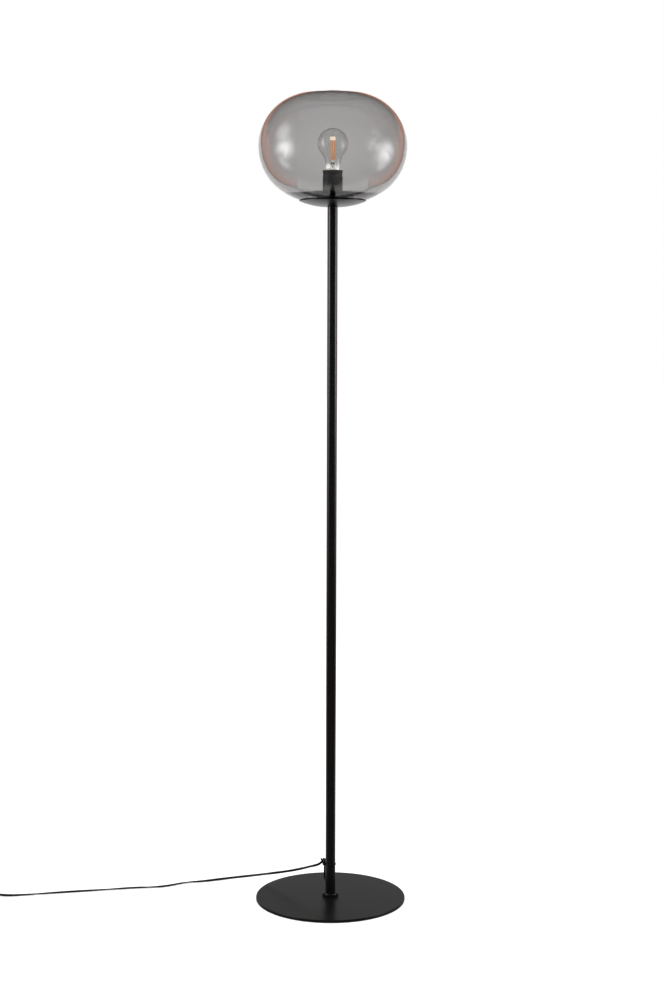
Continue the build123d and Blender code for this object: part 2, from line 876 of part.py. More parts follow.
# ---------------------------------------------------------------- cord at the pole
exit_plane = Plane(exit_point, z_dir=exit_dir)
with BuildPart() as cord_grommet:
    with BuildSketch(exit_plane.offset(pole_r - pole_wall)):
        Circle(grommet_flange_d / 2)
    extrude(amount=pole_wall + grommet_proud)
    turned_away = Cylinder(pole_r, grommet_flange_d * 2, mode=Mode.PRIVATE)
    add(turned_away.moved(Location((0, 0, exit_h))), mode=Mode.SUBTRACT)
    with BuildSketch(exit_plane.offset(pole_bore_r - pole_wall)):
        Circle(grommet_neck_d / 2)
    extrude(amount=2 * pole_wall + grommet_proud)
    with BuildSketch(exit_plane):
        Circle(cord_hole_r)
    extrude(amount=pole_d, mode=Mode.SUBTRACT)
cord_grommet.part.label = "cord_grommet"
export_step(cord_grommet.part, "parts/cord_grommet.step")

cable_top = nipple_high + cable_above_nipple
with BuildPart() as inner_cable:
    with BuildLine() as cable_path:
        FilletPolyline(
            exit_point + exit_dir * cord_start,
            exit_point,
            (0, 0, cable_top),
            radius=cable_bend_r,
        )
    with BuildSketch(Plane(cable_path.line @ 0, z_dir=cable_path.line % 0)):
        Circle(cord_r)
    sweep(path=cable_path.line)
inner_cable.part.label = "inner_cable"
export_step(inner_cable.part, "parts/inner_cable.step")
report_tube("inner_cable", inner_cable.part, cable_path)

# Two cores leave the cable's end, rise, and turn outwards into the terminals.
with BuildPart() as cable_cores:
    for side in (-1, 1):
        with BuildLine() as core_path:
            FilletPolyline(
                (side * core_pitch / 2, 0, cable_top),
                (side * core_pitch / 2, 0, terminal_middle),
                (side * ((terminal_pitch - terminal_w) / 2 + core_grip), 0, terminal_middle),
                radius=core_bend_r,
            )
        with BuildSketch(Plane(core_path.line @ 0, z_dir=core_path.line % 0)):
            Circle(core_wire_d / 2)
        sweep(path=core_path.line)
cable_cores.part.label = "cable_cores"
export_step(cable_cores.part, "parts/cable_cores.step")

# The tie goes round the pole and the cord beside it, at the height of the cord's own slope.
before_tie = Vector(*lead_route[tie_run])
after_tie = Vector(*lead_route[tie_run + 1])
tie_share = (tie_h - before_tie.Z) / (after_tie.Z - before_tie.Z)
tie_cord = before_tie + (after_tie - before_tie) * tie_share
tie_inner_pole = pole_r + hole_gap
tie_inner_cord = cord_r + tie_w / 4
tie_normal = Vector(cos(radians(tie_side)), sin(radians(tie_side)), 0)
tie_on_pole = tie_normal * (tie_inner_pole + tie_t)
tie_on_cord = Vector(tie_cord.X, tie_cord.Y, 0) + tie_normal * (tie_inner_cord + tie_t)
tie_head = (tie_on_pole + tie_on_cord) * 0.5 + Vector(0, 0, tie_h)
with BuildPart() as cord_tie:
    with BuildSketch(Plane.XY.offset(tie_h - tie_w / 2)):
        Circle(tie_inner_pole + tie_t)
        with Locations((tie_cord.X, tie_cord.Y)):
            Circle(tie_inner_cord + tie_t)
        make_hull()
    extrude(amount=tie_w)
    with BuildSketch(Plane(tie_head, z_dir=tie_normal)):
        Rectangle(tie_head_w, tie_head_h)
    extrude(amount=tie_head_t)
    with BuildSketch(Plane(tie_head + tie_normal * (tie_head_t / 2), z_dir=tie_tail_lean)):
        Rectangle(tie_w, tie_t)
    extrude(amount=tie_tail_l)
    with BuildSketch(Plane.XY.offset(tie_h - tie_head_h)):
        Circle(tie_inner_pole)
        with Locations((tie_cord.X, tie_cord.Y)):
            Circle(tie_inner_cord)
        make_hull()
    extrude(amount=2 * tie_head_h, mode=Mode.SUBTRACT)
cord_tie.part.label = "cord_tie"
export_step(cord_tie.part, "parts/cord_tie.step")

# ---------------------------------------------------------------- free cord
lead_points = [exit_point + exit_dir * reach for reach in (cord_start, cord_start + exit_run)]
lead_points += [Vector(*point) for point in lead_route]
lead_radii = bend_radii(lead_points)
print("lead bend radii", [round(r, 1) for r in lead_radii])
with BuildPart() as cord_lead:
    with BuildLine() as lead_path:
        FilletPolyline(*lead_points, radius=lead_radii)
    with BuildSketch(Plane(lead_path.line @ 0, z_dir=lead_path.line % 0)):
        Circle(cord_r)
    sweep(path=lead_path.line)
cord_lead.part.label = "cord_lead"
export_step(cord_lead.part, "parts/cord_lead.step")
report_tube("cord_lead", cord_lead.part, lead_path)

# ---------------------------------------------------------------- coil
coil_mid_y = coil_entry_y + coil_outer_r
coil_low = cord_r + coil_lift
coil_stops = []
stop_r = coil_outer_r
stop_z = coil_low
for layer in range(coil_layers):
    inward = layer % 2 == 0
    coil_stops.append((stop_r, stop_z))
    for half_turn in range(coil_half_turns):
        stop_r += -coil_pitch / 2 if inward else coil_pitch / 2
        coil_stops.append((stop_r, stop_z))
    stop_z += coil_layer_h


def coil_point(index):
    """The cord's middle at the front of the coil for an even stop and the back for an odd one."""
    radius, height = coil_stops[index]
    side = -1 if index % 2 == 0 else 1
    return Vector(coil_x, coil_mid_y + side * radius, height)


def coil_heading(index):
    """The cord's direction there: it winds clockwise, seen from above."""
    return Vector(-1, 0, 0) if index % 2 == 0 else Vector(1, 0, 0)


coil_end = len(coil_stops) - 1
with BuildPart() as cord_coil:
    with BuildLine() as coil_path:
        for index in range(coil_end):
            here = coil_point(index)
            there = coil_point(index + 1)
            across = there - here
            heading = coil_heading(index)
            halfway = (here + there) * 0.5 + heading * (across.length / 2)
            TangentArc(here, halfway, tangent=heading)
            TangentArc(halfway, there, tangent=across)
    with BuildSketch(Plane(coil_point(0), z_dir=coil_heading(0))):
        Circle(cord_r)
    sweep(path=coil_path.line)
cord_coil.part.label = "cord_coil"
export_step(cord_coil.part, "parts/cord_coil.step")
report_tube("cord_coil", cord_coil.part, coil_path)

# Least gap between stretches of the coil that are more than a quarter turn apart.
coil_steps = 1600
coil_samples = [coil_path.line @ (k / coil_steps) for k in range(coil_steps + 1)]
quarter_turn = int(coil_steps / coil_end / 2)
coil_reach = min(
    (coil_samples[i] - coil_samples[j]).length
    for i in range(0, coil_steps, 4)
    for j in range(i + quarter_turn, coil_steps + 1, 2)
)
print("coil least gap", round(coil_reach - cord_d, 2))

switch_left = switch_x - switch_l / 2
link_route = [
    (switch_left + 6.0, 0.0, switch_split),
    (switch_left - 5.0, 0.0, switch_split),
    (switch_left - 17.0, -0.2, 6.4),
    (coil_x + 27.0, coil_entry_y + 0.3, coil_low + 1.0),
    (coil_x + 13.0, coil_entry_y, coil_low),
    (coil_x, coil_entry_y, coil_low),
]
link_radii = bend_radii(link_route)
print("link bend radii", [round(r, 1) for r in link_radii])
with BuildPart() as cord_link:
    with BuildLine() as link_path:
        FilletPolyline(*link_route, radius=link_radii)
    with BuildSketch(Plane(link_path.line @ 0, z_dir=link_path.line % 0)):
        Circle(cord_r)
    sweep(path=link_path.line)
cord_link.part.label = "cord_link"
export_step(cord_link.part, "parts/cord_link.step")
report_tube("cord_link", cord_link.part, link_path)

plug_mid_h = plug_t / 2
relief_end_x = plug_front_x - plug_l - relief_l
tail_top = coil_point(coil_end)
tail_route = [
    (tail_top.X, tail_top.Y, tail_top.Z),
    (coil_x + 11.0, tail_top.Y, tail_top.Z),
    (coil_x + 21.5, 66.2, 16.3),
    (coil_x + 32.0, 66.8, 10.6),
    (relief_end_x - 9.5, plug_y, plug_mid_h),
    (relief_end_x, plug_y, plug_mid_h),
]
tail_radii = bend_radii(tail_route)
print("tail bend radii", [round(r, 1) for r in tail_radii])
with BuildPart() as cord_tail:
    with BuildLine() as tail_path:
        FilletPolyline(*tail_route, radius=tail_radii)
    with BuildSketch(Plane(tail_path.line @ 0, z_dir=tail_path.line % 0)):
        Circle(cord_r)
    sweep(path=tail_path.line)
cord_tail.part.label = "cord_tail"
export_step(cord_tail.part, "parts/cord_tail.step")
report_tube("cord_tail", cord_tail.part, tail_path)
free_paths = (lead_path, link_path, coil_path, tail_path)
print("free cord length", round(sum(tube_length(path) for path in free_paths), 1))

# A band holds the coil's bundle together, clear of the places where it climbs.
bundle_in = coil_outer_r - coil_pitch * coil_half_turns / 2 - cord_r - coil_tie_gap
bundle_out = coil_outer_r + cord_r + coil_tie_gap
bundle_low = coil_lift - coil_tie_gap
bundle_high = coil_low + coil_layer_h * (coil_layers - 1) + cord_r + coil_tie_gap
tie_outward = Vector(cos(radians(coil_tie_angle)), sin(radians(coil_tie_angle)), 0)
tie_plane = Plane(
    Vector(coil_x, coil_mid_y, 0) + tie_outward * ((bundle_in + bundle_out) / 2),
    x_dir=tie_outward,
    z_dir=tie_outward.cross(Vector(0, 0, 1)),
)
with BuildPart() as coil_tie:
    with BuildSketch(tie_plane):
        with Locations((0, (bundle_low + bundle_high) / 2)):
            RectangleRounded(
                bundle_out - bundle_in + 2 * coil_tie_t,
                bundle_high - bundle_low + 2 * coil_tie_t,
                cord_r / 2 + coil_tie_t,
            )
            RectangleRounded(
                bundle_out - bundle_in,
                bundle_high - bundle_low,
                cord_r / 2,
                mode=Mode.SUBTRACT,
            )
    extrude(amount=coil_tie_w / 2, both=True)
coil_tie.part.label = "coil_tie"
export_step(coil_tie.part, "parts/coil_tie.step")

# ---------------------------------------------------------------- hand switch
cavity_l = switch_l - 2 * switch_end_wall
cavity_w = switch_w - 2 * switch_wall
screw_y = switch_w / 2 - switch_screw_inset
screw_places = [(switch_x + side * switch_screw_pitch / 2, screw_y) for side in (-1, 1)]
cord_channel = Plane(Vector(switch_x, 0, switch_split), z_dir=(1, 0, 0))
with BuildPart() as switch_base:
    with BuildSketch():
        with Locations((switch_x, 0)):
            RectangleRounded(switch_l, switch_w, switch_corner_r)
    extrude(amount=switch_split)
    chamfer(switch_base.edges().group_by(Axis.Z)[0], switch_edge_r / 2)
    with BuildSketch(Plane.XY.offset(switch_wall)):
        with Locations((switch_x, 0)):
            RectangleRounded(cavity_l, cavity_w, switch_wall)
    extrude(amount=switch_split, mode=Mode.SUBTRACT)
    with BuildSketch(cord_channel):
        Circle(cord_hole_r)
    extrude(amount=switch_l / 2, both=True, mode=Mode.SUBTRACT)
    with BuildSketch():
        with Locations(*screw_places):
            Circle(switch_screw_d / 2 + hole_gap)
    extrude(amount=switch_split, mode=Mode.SUBTRACT)
    with BuildSketch():
        with Locations(*screw_places):
            Circle(switch_head_d / 2 + hole_gap)
    extrude(amount=switch_head_t + hole_gap, mode=Mode.SUBTRACT)
switch_base.part.label = "switch_base"
export_step(switch_base.part, "parts/switch_base.step")

roof_low = switch_h - switch_wall
cheek_y = rocker_w / 2 + rocker_gap
with BuildPart() as switch_cover:
    with BuildSketch(Plane.XY.offset(switch_split)):
        with Locations((switch_x, 0)):
            RectangleRounded(switch_l, switch_w, switch_corner_r)
    extrude(amount=switch_h - switch_split)
    fillet(switch_cover.edges().group_by(Axis.Z)[-1], switch_edge_r)
    with BuildSketch(Plane.XY.offset(switch_split)):
        with Locations((switch_x, 0)):
            RectangleRounded(cavity_l, cavity_w, switch_wall)
    extrude(amount=roof_low - switch_split, mode=Mode.SUBTRACT)
    with BuildSketch(Plane.XY.offset(switch_split + cheek_foot)):
        with Locations((switch_x, cheek_y + cheek_t / 2), (switch_x, -cheek_y - cheek_t / 2)):
            Rectangle(cheek_l, cheek_t)
    extrude(amount=roof_low - switch_split - cheek_foot)
    with BuildSketch(Plane.XY.offset(roof_low)):
        with Locations((switch_x, 0)):
            RectangleRounded(
                rocker_l + 2 * rocker_end_gap,
                rocker_w + 2 * rocker_gap,
                rocker_end_gap,
            )
    extrude(amount=switch_wall, mode=Mode.SUBTRACT)
    with BuildSketch(cord_channel):
        Circle(cord_hole_r)
    extrude(amount=switch_l / 2, both=True, mode=Mode.SUBTRACT)
    with BuildSketch(Plane(Vector(switch_x, 0, rocker_pivot_h), z_dir=(0, 1, 0))):
        Circle(trunnion_d / 2 + trunnion_gap)
    extrude(amount=cheek_y + cheek_t, both=True, mode=Mode.SUBTRACT)
    with BuildSketch(Plane.XY.offset(switch_split)):
        with Locations(*screw_places):
            Circle(switch_screw_d / 2 + thread_gap)
    extrude(amount=switch_screw_l - switch_split + switch_head_t, mode=Mode.SUBTRACT)
switch_cover.part.label = "switch_cover"
export_step(switch_cover.part, "parts/switch_cover.step")

# The rocker rests tipped towards its left wing.
rocker_plane = Plane(
    Vector(switch_x, 0, rocker_pivot_h),
    x_dir=(cos(radians(rocker_tilt)), 0, sin(radians(rocker_tilt))),
    z_dir=(0, -1, 0),
)
with BuildPart() as switch_rocker:
    with BuildSketch(rocker_plane):
        with BuildLine():
            Polyline(
                (-rocker_l / 2, rocker_wing_h),
                (-rocker_l / 2, 0),
                (-rocker_l / 6, -rocker_belly_h),
                (rocker_l / 6, -rocker_belly_h),
                (rocker_l / 2, 0),
                (rocker_l / 2, rocker_wing_h),
            )
            ThreePointArc(
                (rocker_l / 2, rocker_wing_h),
                (0, rocker_valley_h),
                (-rocker_l / 2, rocker_wing_h),
            )
        make_face()
    extrude(amount=rocker_w / 2, both=True)
    fillet(switch_rocker.edges().group_by(Axis.Z)[-1], rocker_edge_r)
    with BuildSketch(Plane(Vector(switch_x, 0, rocker_pivot_h), z_dir=(0, 1, 0))):
        Circle(trunnion_d / 2)
    extrude(amount=cheek_y + cheek_t - 2 * hole_gap, both=True)
switch_rocker.part.label = "switch_rocker"
export_step(switch_rocker.part, "parts/switch_rocker.step")

with BuildPart() as switch_contacts:
    with BuildSketch(Plane.XY.offset(switch_wall)):
        with Locations(
            (switch_x - blade_l / 2 - blade_gap / 2, blade_y),
            (switch_x + blade_l / 2 + blade_gap / 2, blade_y),
        ):
            Rectangle(blade_l, blade_w)
    extrude(amount=blade_t)
    with BuildSketch(Plane.XY.offset(switch_wall + blade_t)):
        with Locations((switch_x - blade_gap, blade_y), (switch_x + blade_gap, blade_y)):
            Rectangle(blade_gap / 2, blade_w)
    extrude(amount=switch_split / 3)
switch_contacts.part.label = "switch_contacts"
export_step(switch_contacts.part, "parts/switch_contacts.step")

# One core runs straight through, below the rocker.
with BuildPart() as switch_core:
    with BuildSketch(Plane((switch_x, through_core_y, switch_wall + core_wire_d / 2), z_dir=(1, 0, 0))):
        Circle(core_wire_d / 2)
    extrude(amount=cavity_l / 2, both=True)
switch_core.part.label = "switch_core"
export_step(switch_core.part, "parts/switch_core.step")

with BuildPart() as switch_screws:
    with BuildSketch():
        with Locations(*screw_places):
            Circle(switch_head_d / 2)
    extrude(amount=switch_head_t)
    with BuildSketch(Plane.XY.offset(switch_head_t)):
        with Locations(*screw_places):
            Circle(switch_screw_d / 2)
    extrude(amount=switch_screw_l)
switch_screws.part.label = "switch_screws"
export_step(switch_screws.part, "parts/switch_screws.step")

# ---------------------------------------------------------------- plug
plug_face = Plane(Vector(plug_front_x, plug_y, plug_mid_h), x_dir=(0, 1, 0), z_dir=(1, 0, 0))
with BuildPart() as plug_body:
    with BuildSketch(plug_face):
        with BuildLine():
            Polyline(
                (-plug_w / 2, 0),
                (-plug_w / 2 + plug_corner, -plug_t / 2),
                (plug_w / 2 - plug_corner, -plug_t / 2),
                (plug_w / 2, 0),
                (plug_w / 2 - plug_corner, plug_t / 2),
                (-plug_w / 2 + plug_corner, plug_t / 2),
                close=True,
            )
        make_face()
        fillet(vertices(), plug_edge_r)
    extrude(amount=-plug_front_l)
    with BuildSketch(plug_face.offset(-plug_front_l)):
        RectangleRounded(plug_w - 2 * plug_step, plug_t - plug_step, plug_shoulder_r)
    with BuildSketch(plug_face.offset(-plug_l)):
        RectangleRounded(plug_rear_w, plug_rear_t, plug_rear_t / 2 - hole_gap)
    loft()
    with BuildSketch(plug_face.offset(-plug_l)):
        Circle(relief_root_d / 2)
    with BuildSketch(plug_face.offset(-plug_l - relief_l)):
        Circle(relief_tip_d / 2)
    loft()
    for ring in range(relief_rings):
        ring_x = plug_l + relief_l * (ring + 0.5) / relief_rings
        ring_r = relief_root_d + (relief_tip_d - relief_root_d) * (ring + 0.5) / relief_rings
        with BuildSketch(plug_face.offset(-ring_x)):
            Circle(relief_root_d)
            Circle(ring_r / 2 - relief_cut_depth, mode=Mode.SUBTRACT)
        extrude(amount=relief_cut_w / 2, both=True, mode=Mode.SUBTRACT)
plug_body.part.label = "plug_body"
export_step(plug_body.part, "parts/plug_body.step")

with BuildPart() as plug_pins:
    with BuildSketch(plug_face.offset(pin_sleeve_l)):
        with Locations((-pin_pitch / 2, 0), (pin_pitch / 2, 0)):
            Circle(pin_d / 2)
    extrude(amount=pin_l - pin_sleeve_l)
    fillet(plug_pins.edges().group_by(Axis.X)[-1], pin_tip_r)
    with BuildSketch(plug_face):
        with Locations((-pin_pitch / 2, 0), (pin_pitch / 2, 0)):
            Circle(pin_core_d / 2)
    extrude(amount=pin_sleeve_l)
plug_pins.part.label = "plug_pins"
export_step(plug_pins.part, "parts/plug_pins.step")

with BuildPart() as pin_sleeves:
    with BuildSketch(plug_face):
        with Locations((-pin_pitch / 2, 0), (pin_pitch / 2, 0)):
            Circle(pin_sleeve_d / 2)
            Circle(pin_core_d / 2 + thread_gap, mode=Mode.SUBTRACT)
    extrude(amount=pin_sleeve_l)
pin_sleeves.part.label = "pin_sleeves"
export_step(pin_sleeves.part, "parts/pin_sleeves.step")
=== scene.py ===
"""Globe floor lamp: smoked glass globe on a slim black pole with a round base, corded switch and plug.

Metres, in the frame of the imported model: +Z up, +X to the right and +Y to the back.
"""

import json
import math

import bpy
from bpy.props import FloatProperty, PointerProperty, StringProperty
from mathutils import Matrix, Vector

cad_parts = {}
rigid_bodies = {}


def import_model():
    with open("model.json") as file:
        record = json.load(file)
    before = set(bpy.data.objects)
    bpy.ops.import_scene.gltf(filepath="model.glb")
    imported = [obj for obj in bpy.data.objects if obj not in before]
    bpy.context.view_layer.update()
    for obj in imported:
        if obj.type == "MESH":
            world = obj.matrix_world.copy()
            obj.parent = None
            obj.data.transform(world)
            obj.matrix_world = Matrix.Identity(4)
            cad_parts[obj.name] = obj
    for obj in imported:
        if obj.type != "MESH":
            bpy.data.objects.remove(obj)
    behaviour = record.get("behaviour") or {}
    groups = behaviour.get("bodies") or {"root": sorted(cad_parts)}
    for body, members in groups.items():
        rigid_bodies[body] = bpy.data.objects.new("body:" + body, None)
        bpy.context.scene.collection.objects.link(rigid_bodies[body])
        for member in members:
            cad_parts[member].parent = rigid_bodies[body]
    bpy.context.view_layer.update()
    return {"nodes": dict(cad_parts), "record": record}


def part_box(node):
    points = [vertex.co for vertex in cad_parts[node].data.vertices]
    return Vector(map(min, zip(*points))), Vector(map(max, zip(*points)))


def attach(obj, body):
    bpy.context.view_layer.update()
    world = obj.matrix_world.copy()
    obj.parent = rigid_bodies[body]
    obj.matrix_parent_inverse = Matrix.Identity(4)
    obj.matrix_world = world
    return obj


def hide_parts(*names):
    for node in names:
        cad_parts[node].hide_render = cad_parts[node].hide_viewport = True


bl_info = {
    "name": "Globe floor lamp",
    "version": (1, 0, 0),
    "blender": (4, 5, 0),
    "location": "3D View > Sidebar > Lamp",
    "description": "Builds a globe floor lamp with its bulb, cord, hand switch and plug",
    "category": "Add Mesh",
}

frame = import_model()
nodes = frame["nodes"]

MM = 0.001


def top_of(node):
    """Height of a node's highest point."""
    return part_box(node)[1].z


def foot_of(node):
    """Height of a node's lowest point."""
    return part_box(node)[0].z


def radius_of(node):
    """Half of a round node's width."""
    low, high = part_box(node)
    return (high.x - low.x) / 2


def span_of(node):
    """A round node's lowest and highest height, and its radius."""
    return foot_of(node), top_of(node), radius_of(node)


# ---- properties
class LampSizes(bpy.types.PropertyGroup):
    """Sizes of the lamp's finer pieces."""

    glass_wall: FloatProperty(
        name="Globe wall", description="Thickness of the globe's glass", default=2.8 * MM, unit="LENGTH"
    )
    glass_foot: FloatProperty(
        name="Globe foot", description="How much thicker the glass is at its foot", default=3.4 * MM, unit="LENGTH"
    )
    glass_opening: FloatProperty(
        name="Globe opening", description="Radius of the globe's opening", default=60.4 * MM, unit="LENGTH"
    )
    pole_wall: FloatProperty(
        name="Pole wall", description="Wall of the pole's tubes", default=1.2 * MM, unit="LENGTH"
    )
    sheet: FloatProperty(
        name="Sheet", description="Thickness of the dish and the gallery", default=1.2 * MM, unit="LENGTH"
    )
    bulb_wall: FloatProperty(
        name="Bulb wall", description="Thickness of the bulb's glass", default=0.45 * MM, unit="LENGTH"
    )
    cord_width: FloatProperty(
        name="Cord width", description="Width of the flat twin cord", default=4.8 * MM, unit="LENGTH"
    )
    cord_thickness: FloatProperty(
        name="Cord thickness", description="Thickness of the flat twin cord", default=2.7 * MM, unit="LENGTH"
    )
    coat_grain: FloatProperty(
        name="Coating grain", description="Size of the powder coat's ripple", default=1.2 * MM, unit="LENGTH"
    )
    lamp_reach: FloatProperty(
        name="Softbox distance", description="How far the studio softboxes stand off", default=1.22, unit="LENGTH"
    )


class LampColours(bpy.types.PropertyGroup):
    """Colours of the lamp's finishes, as sRGB values."""

    coat: StringProperty(name="Powder coat", description="Colour of the coated metal", default="#111111")
    moulding: StringProperty(name="Moulding", description="Colour of the switch and the plug", default="#1B1B1B")
    # The lampholder's grey is lighter than its own dark colour: painted light for the veil that the globe's glass
    # reflects over it.
    holder: StringProperty(name="Lampholder", description="Colour of the lampholder", default="#6E6E6E")
    jacket: StringProperty(name="Cord jacket", description="Colour of the cord", default="#121212")
    smoke: StringProperty(
        name="Smoked glass", description="Colour that the globe's glass lets through", default="#A09D9C"
    )
    amber: StringProperty(name="Filament", description="Colour of the bulb's filaments", default="#E8A673")
    wall: StringProperty(
        name="Studio wall", description="Colour of the walls that the glass mirrors", default="#E89C7C"
    )
    wall_edge: StringProperty(
        name="Studio wall's edge", description="Colour of the walls next to the white sweep", default="#522614"
    )
    wall_far: StringProperty(
        name="Studio's far part", description="Colour of the studio beyond its walls", default="#5C5856"
    )


# ---- materials
def linear(code):
    """An sRGB hex colour as linear red, green, blue and alpha."""
    values = [int(code.lstrip("#")[i : i + 2], 16) / 255 for i in (0, 2, 4)]
    return [v / 12.92 if v <= 0.04045 else ((v + 0.055) / 1.055) ** 2.4 for v in values] + [1.0]


def add_node(tree, kind, settings=None, inputs=None, links=None):
    """Adds one node. inputs sets its sockets, links joins them to other nodes' outputs."""
    node = tree.nodes.new(kind)
    for key, value in (settings or {}).items():
        setattr(node, key, value)
    for key, value in (inputs or {}).items():
        node.inputs[key].default_value = value
    for key, output in (links or {}).items():
        tree.links.new(output, node.inputs[key])
    return node


# Map Range as a smooth change. Its sockets 1 to 4 are where it starts and ends, and its values there.
SMOOTH = {"interpolation_type": "SMOOTHSTEP"}


def new_finish(name, **values):
    """A material with a shader set from typical values, and its node tree."""
    finish = bpy.data.materials.new(name)
    finish.use_nodes = True
    shader = finish.node_tree.nodes["Principled BSDF"]
    for key, value in values.items():
        shader.inputs[key.replace("_", " ")].default_value = value
    return finish, finish.node_tree, shader


def object_place(tree, stretch=(1, 1, 1)):
    """Where a point is on the piece, in metres, stretched by axis."""
    place = add_node(tree, "ShaderNodeTexCoord")
    return add_node(tree, "ShaderNodeMapping", inputs={"Scale": stretch}, links={"Vector": place.outputs["Object"]})


def grained(name, size, depth, rough, dark, light, stretch=(1, 1, 1), **values):
    """A finish with a grain of a real size, which lifts the surface and varies its roughness between two limits
    and its colour between two near tones."""
    finish, tree, shader = new_finish(name, **values)
    spot = object_place(tree, stretch)
    noise = add_node(
        tree,
        "ShaderNodeTexNoise",
        inputs={"Scale": 1 / size, "Detail": 3.0, "Roughness": 0.55},
        links={"Vector": spot.outputs["Vector"]},
    )
    grain = noise.outputs["Fac"]
    lift = add_node(tree, "ShaderNodeBump", inputs={"Strength": 0.35, "Distance": depth}, links={"Height": grain})
    spread = add_node(
        tree, "ShaderNodeMapRange", inputs={"To Min": rough[0], "To Max": rough[1]}, links={"Value": grain}
    )
    # Sockets 6, 7 and 2 are the Mix node's two colours and its result.
    tone = add_node(
        tree, "ShaderNodeMix", {"data_type": "RGBA"}, {6: linear(dark), 7: linear(light)}, {"Factor": grain}
    )
    tree.links.new(lift.outputs["Normal"], shader.inputs["Normal"])
    tree.links.new(spread.outputs["Result"], shader.inputs["Roughness"])
    tree.links.new(tone.outputs[2], shader.inputs["Base Color"])
    return finish


def powder_coat(colours, sizes):
    """Satin black powder coat, sprayed and baked: a soft sheen with a fine ripple."""
    # The real ripple is about 0.3 mm. It is drawn at 1.2 mm, so that it shows.
    size = sizes.coat_grain
    return grained("satin_black_powder_coat", size, 0.02 * MM, (0.26, 0.32), "#0B0B0B", colours.coat, IOR=1.5)


def moulded_black(colours, sizes):
    """Black thermoset, pressed in a polished tool: satin, with a trace of flow marks."""
    return grained("satin_black_thermoset", 2.5 * MM, 0.01 * MM, (0.28, 0.36), "#151515", colours.moulding, IOR=1.55)


def holder_moulding_with_painted_veil(colours, sizes):
    """Dark thermoset of the lampholder, pressed in a blasted tool: matt, so that it shows its shape. Its grey is
    lighter than the part's own dark colour: painted light for the pale veil that the globe's glass reflects in front
    of it.
    """
    return grained("dark_thermoset_with_painted_veil", 1.8 * MM, 0.02 * MM, (0.42, 0.52), "#525252", colours.holder, IOR=1.55)


def pvc_jacket(colours, sizes):
    """Soft PVC, drawn through a die: matt."""
    return grained("matt_black_pvc", 1.6 * MM, 0.02 * MM, (0.42, 0.52), "#0C0C0C", colours.jacket, IOR=1.53)


def nylon_tie(colours, sizes):
    """Black nylon 6.6, injection moulded: slightly waxy."""
    return grained("black_nylon", 0.9 * MM, 0.02 * MM, (0.36, 0.48), "#0B0B0B", "#151515", IOR=1.53)


def needled_felt(colours, sizes):
    """Needled polyester felt: matted fibres that hold no shine."""
    sheen = {"Sheen_Weight": 0.4, "Sheen_Roughness": 0.6}
    return grained("black_needled_felt", 0.5 * MM, 0.25 * MM, (0.90, 1.0), "#0E0E0F", "#2A2A2C", **sheen)


def zinc_plate(colours, sizes):
    """Bright zinc plate over turned steel: a cool grey with turning marks round the axis."""
    marks = (1, 1, 6)
    return grained("bright_zinc_plate", 0.8 * MM, 0.01 * MM, (0.22, 0.38), "#A9ACAF", "#C4C7CA", marks, Metallic=1.0)


def stamped_brass(colours, sizes):
    """Bright brass strip, rolled and stamped: warm, with soft streaks of shine."""
    return grained("stamped_brass", 0.7 * MM, 0.01 * MM, (0.18, 0.32), "#C99E4F", "#E0BC70", Metallic=1.0)


def nickel_plate(colours, sizes):
    """Bright nickel over rolled brass, on the bulb's cap and the plug's pins: clear reflections."""
    return grained("bright_nickel_plate", 1.1 * MM, 0.01 * MM, (0.12, 0.24), "#BDB9B2", "#D8D4CC", Metallic=1.0)


def steatite(colours, sizes):
    """Unglazed steatite, pressed and fired: chalky white with a fine tooth."""
    return grained("unglazed_steatite", 0.4 * MM, 0.05 * MM, (0.62, 0.80), "#D9D3C5", "#EDE8DC", IOR=1.55)


def cap_glass(colours, sizes):
    """Black vitrite glass poured into the bulb's cap: glossy."""
    return grained("black_vitrite", 2.0 * MM, 0.02 * MM, (0.08, 0.16), "#0A0A0C", "#16161A", IOR=1.5)


def silicone_rubber(colours, sizes):
    """Black silicone, moulded: matt, a little dusty."""
    return grained("black_silicone", 0.8 * MM, 0.03 * MM, (0.55, 0.70), "#131313", "#222222", IOR=1.43)


def core_jacket(colours, sizes):
    """Blue PVC, drawn over the cord's cores: smooth."""
    return grained("blue_core_insulation", 1.0 * MM, 0.01 * MM, (0.28, 0.36), "#2F5DA8", "#3B6CBB", IOR=1.53)


def filament_coat(colours, sizes):
    """Amber phosphor in silicone over the filament strips: matt, with a painted glow that makes the unlit filaments
    look lit.
    """
    # Painted glow: nothing lights the filaments, and this emission stands in for the light on them.
    glow = {"Emission_Color": linear(colours.amber), "Emission_Strength": 0.8}
    return grained("amber_phosphor", 0.6 * MM, 0.04 * MM, (0.45, 0.60), "#CF8348", colours.amber, IOR=1.45, **glow)


def cream_ceramic(colours, sizes):
    """Cream ceramic, pressed and fired, at the top of the filaments: matt, and made bright by a painted glow."""
    # Painted glow: this emission stands in for light on the crown, which nothing here lights.
    glow = {"Emission_Color": linear("#FFE9D4"), "Emission_Strength": 1.25}
    return grained("cream_ceramic", 0.6 * MM, 0.03 * MM, (0.50, 0.65), "#E9DFC8", "#F6EFDF", IOR=1.5, **glow)


def add_ripple(tree, shader, length, depth):
    """Blown glass is never quite even: a slow and shallow ripple in its surface."""
    spot = object_place(tree)
    ripple = add_node(
        tree,
        "ShaderNodeTexNoise",
        inputs={"Scale": 1 / length, "Detail": 1.0},
        links={"Vector": spot.outputs["Vector"]},
    )
    lift = add_node(
        tree,
        "ShaderNodeBump",
        inputs={"Strength": 0.10, "Distance": depth},
        links={"Height": ripple.outputs["Fac"]},
    )
    tree.links.new(lift.outputs["Normal"], shader.inputs["Normal"])


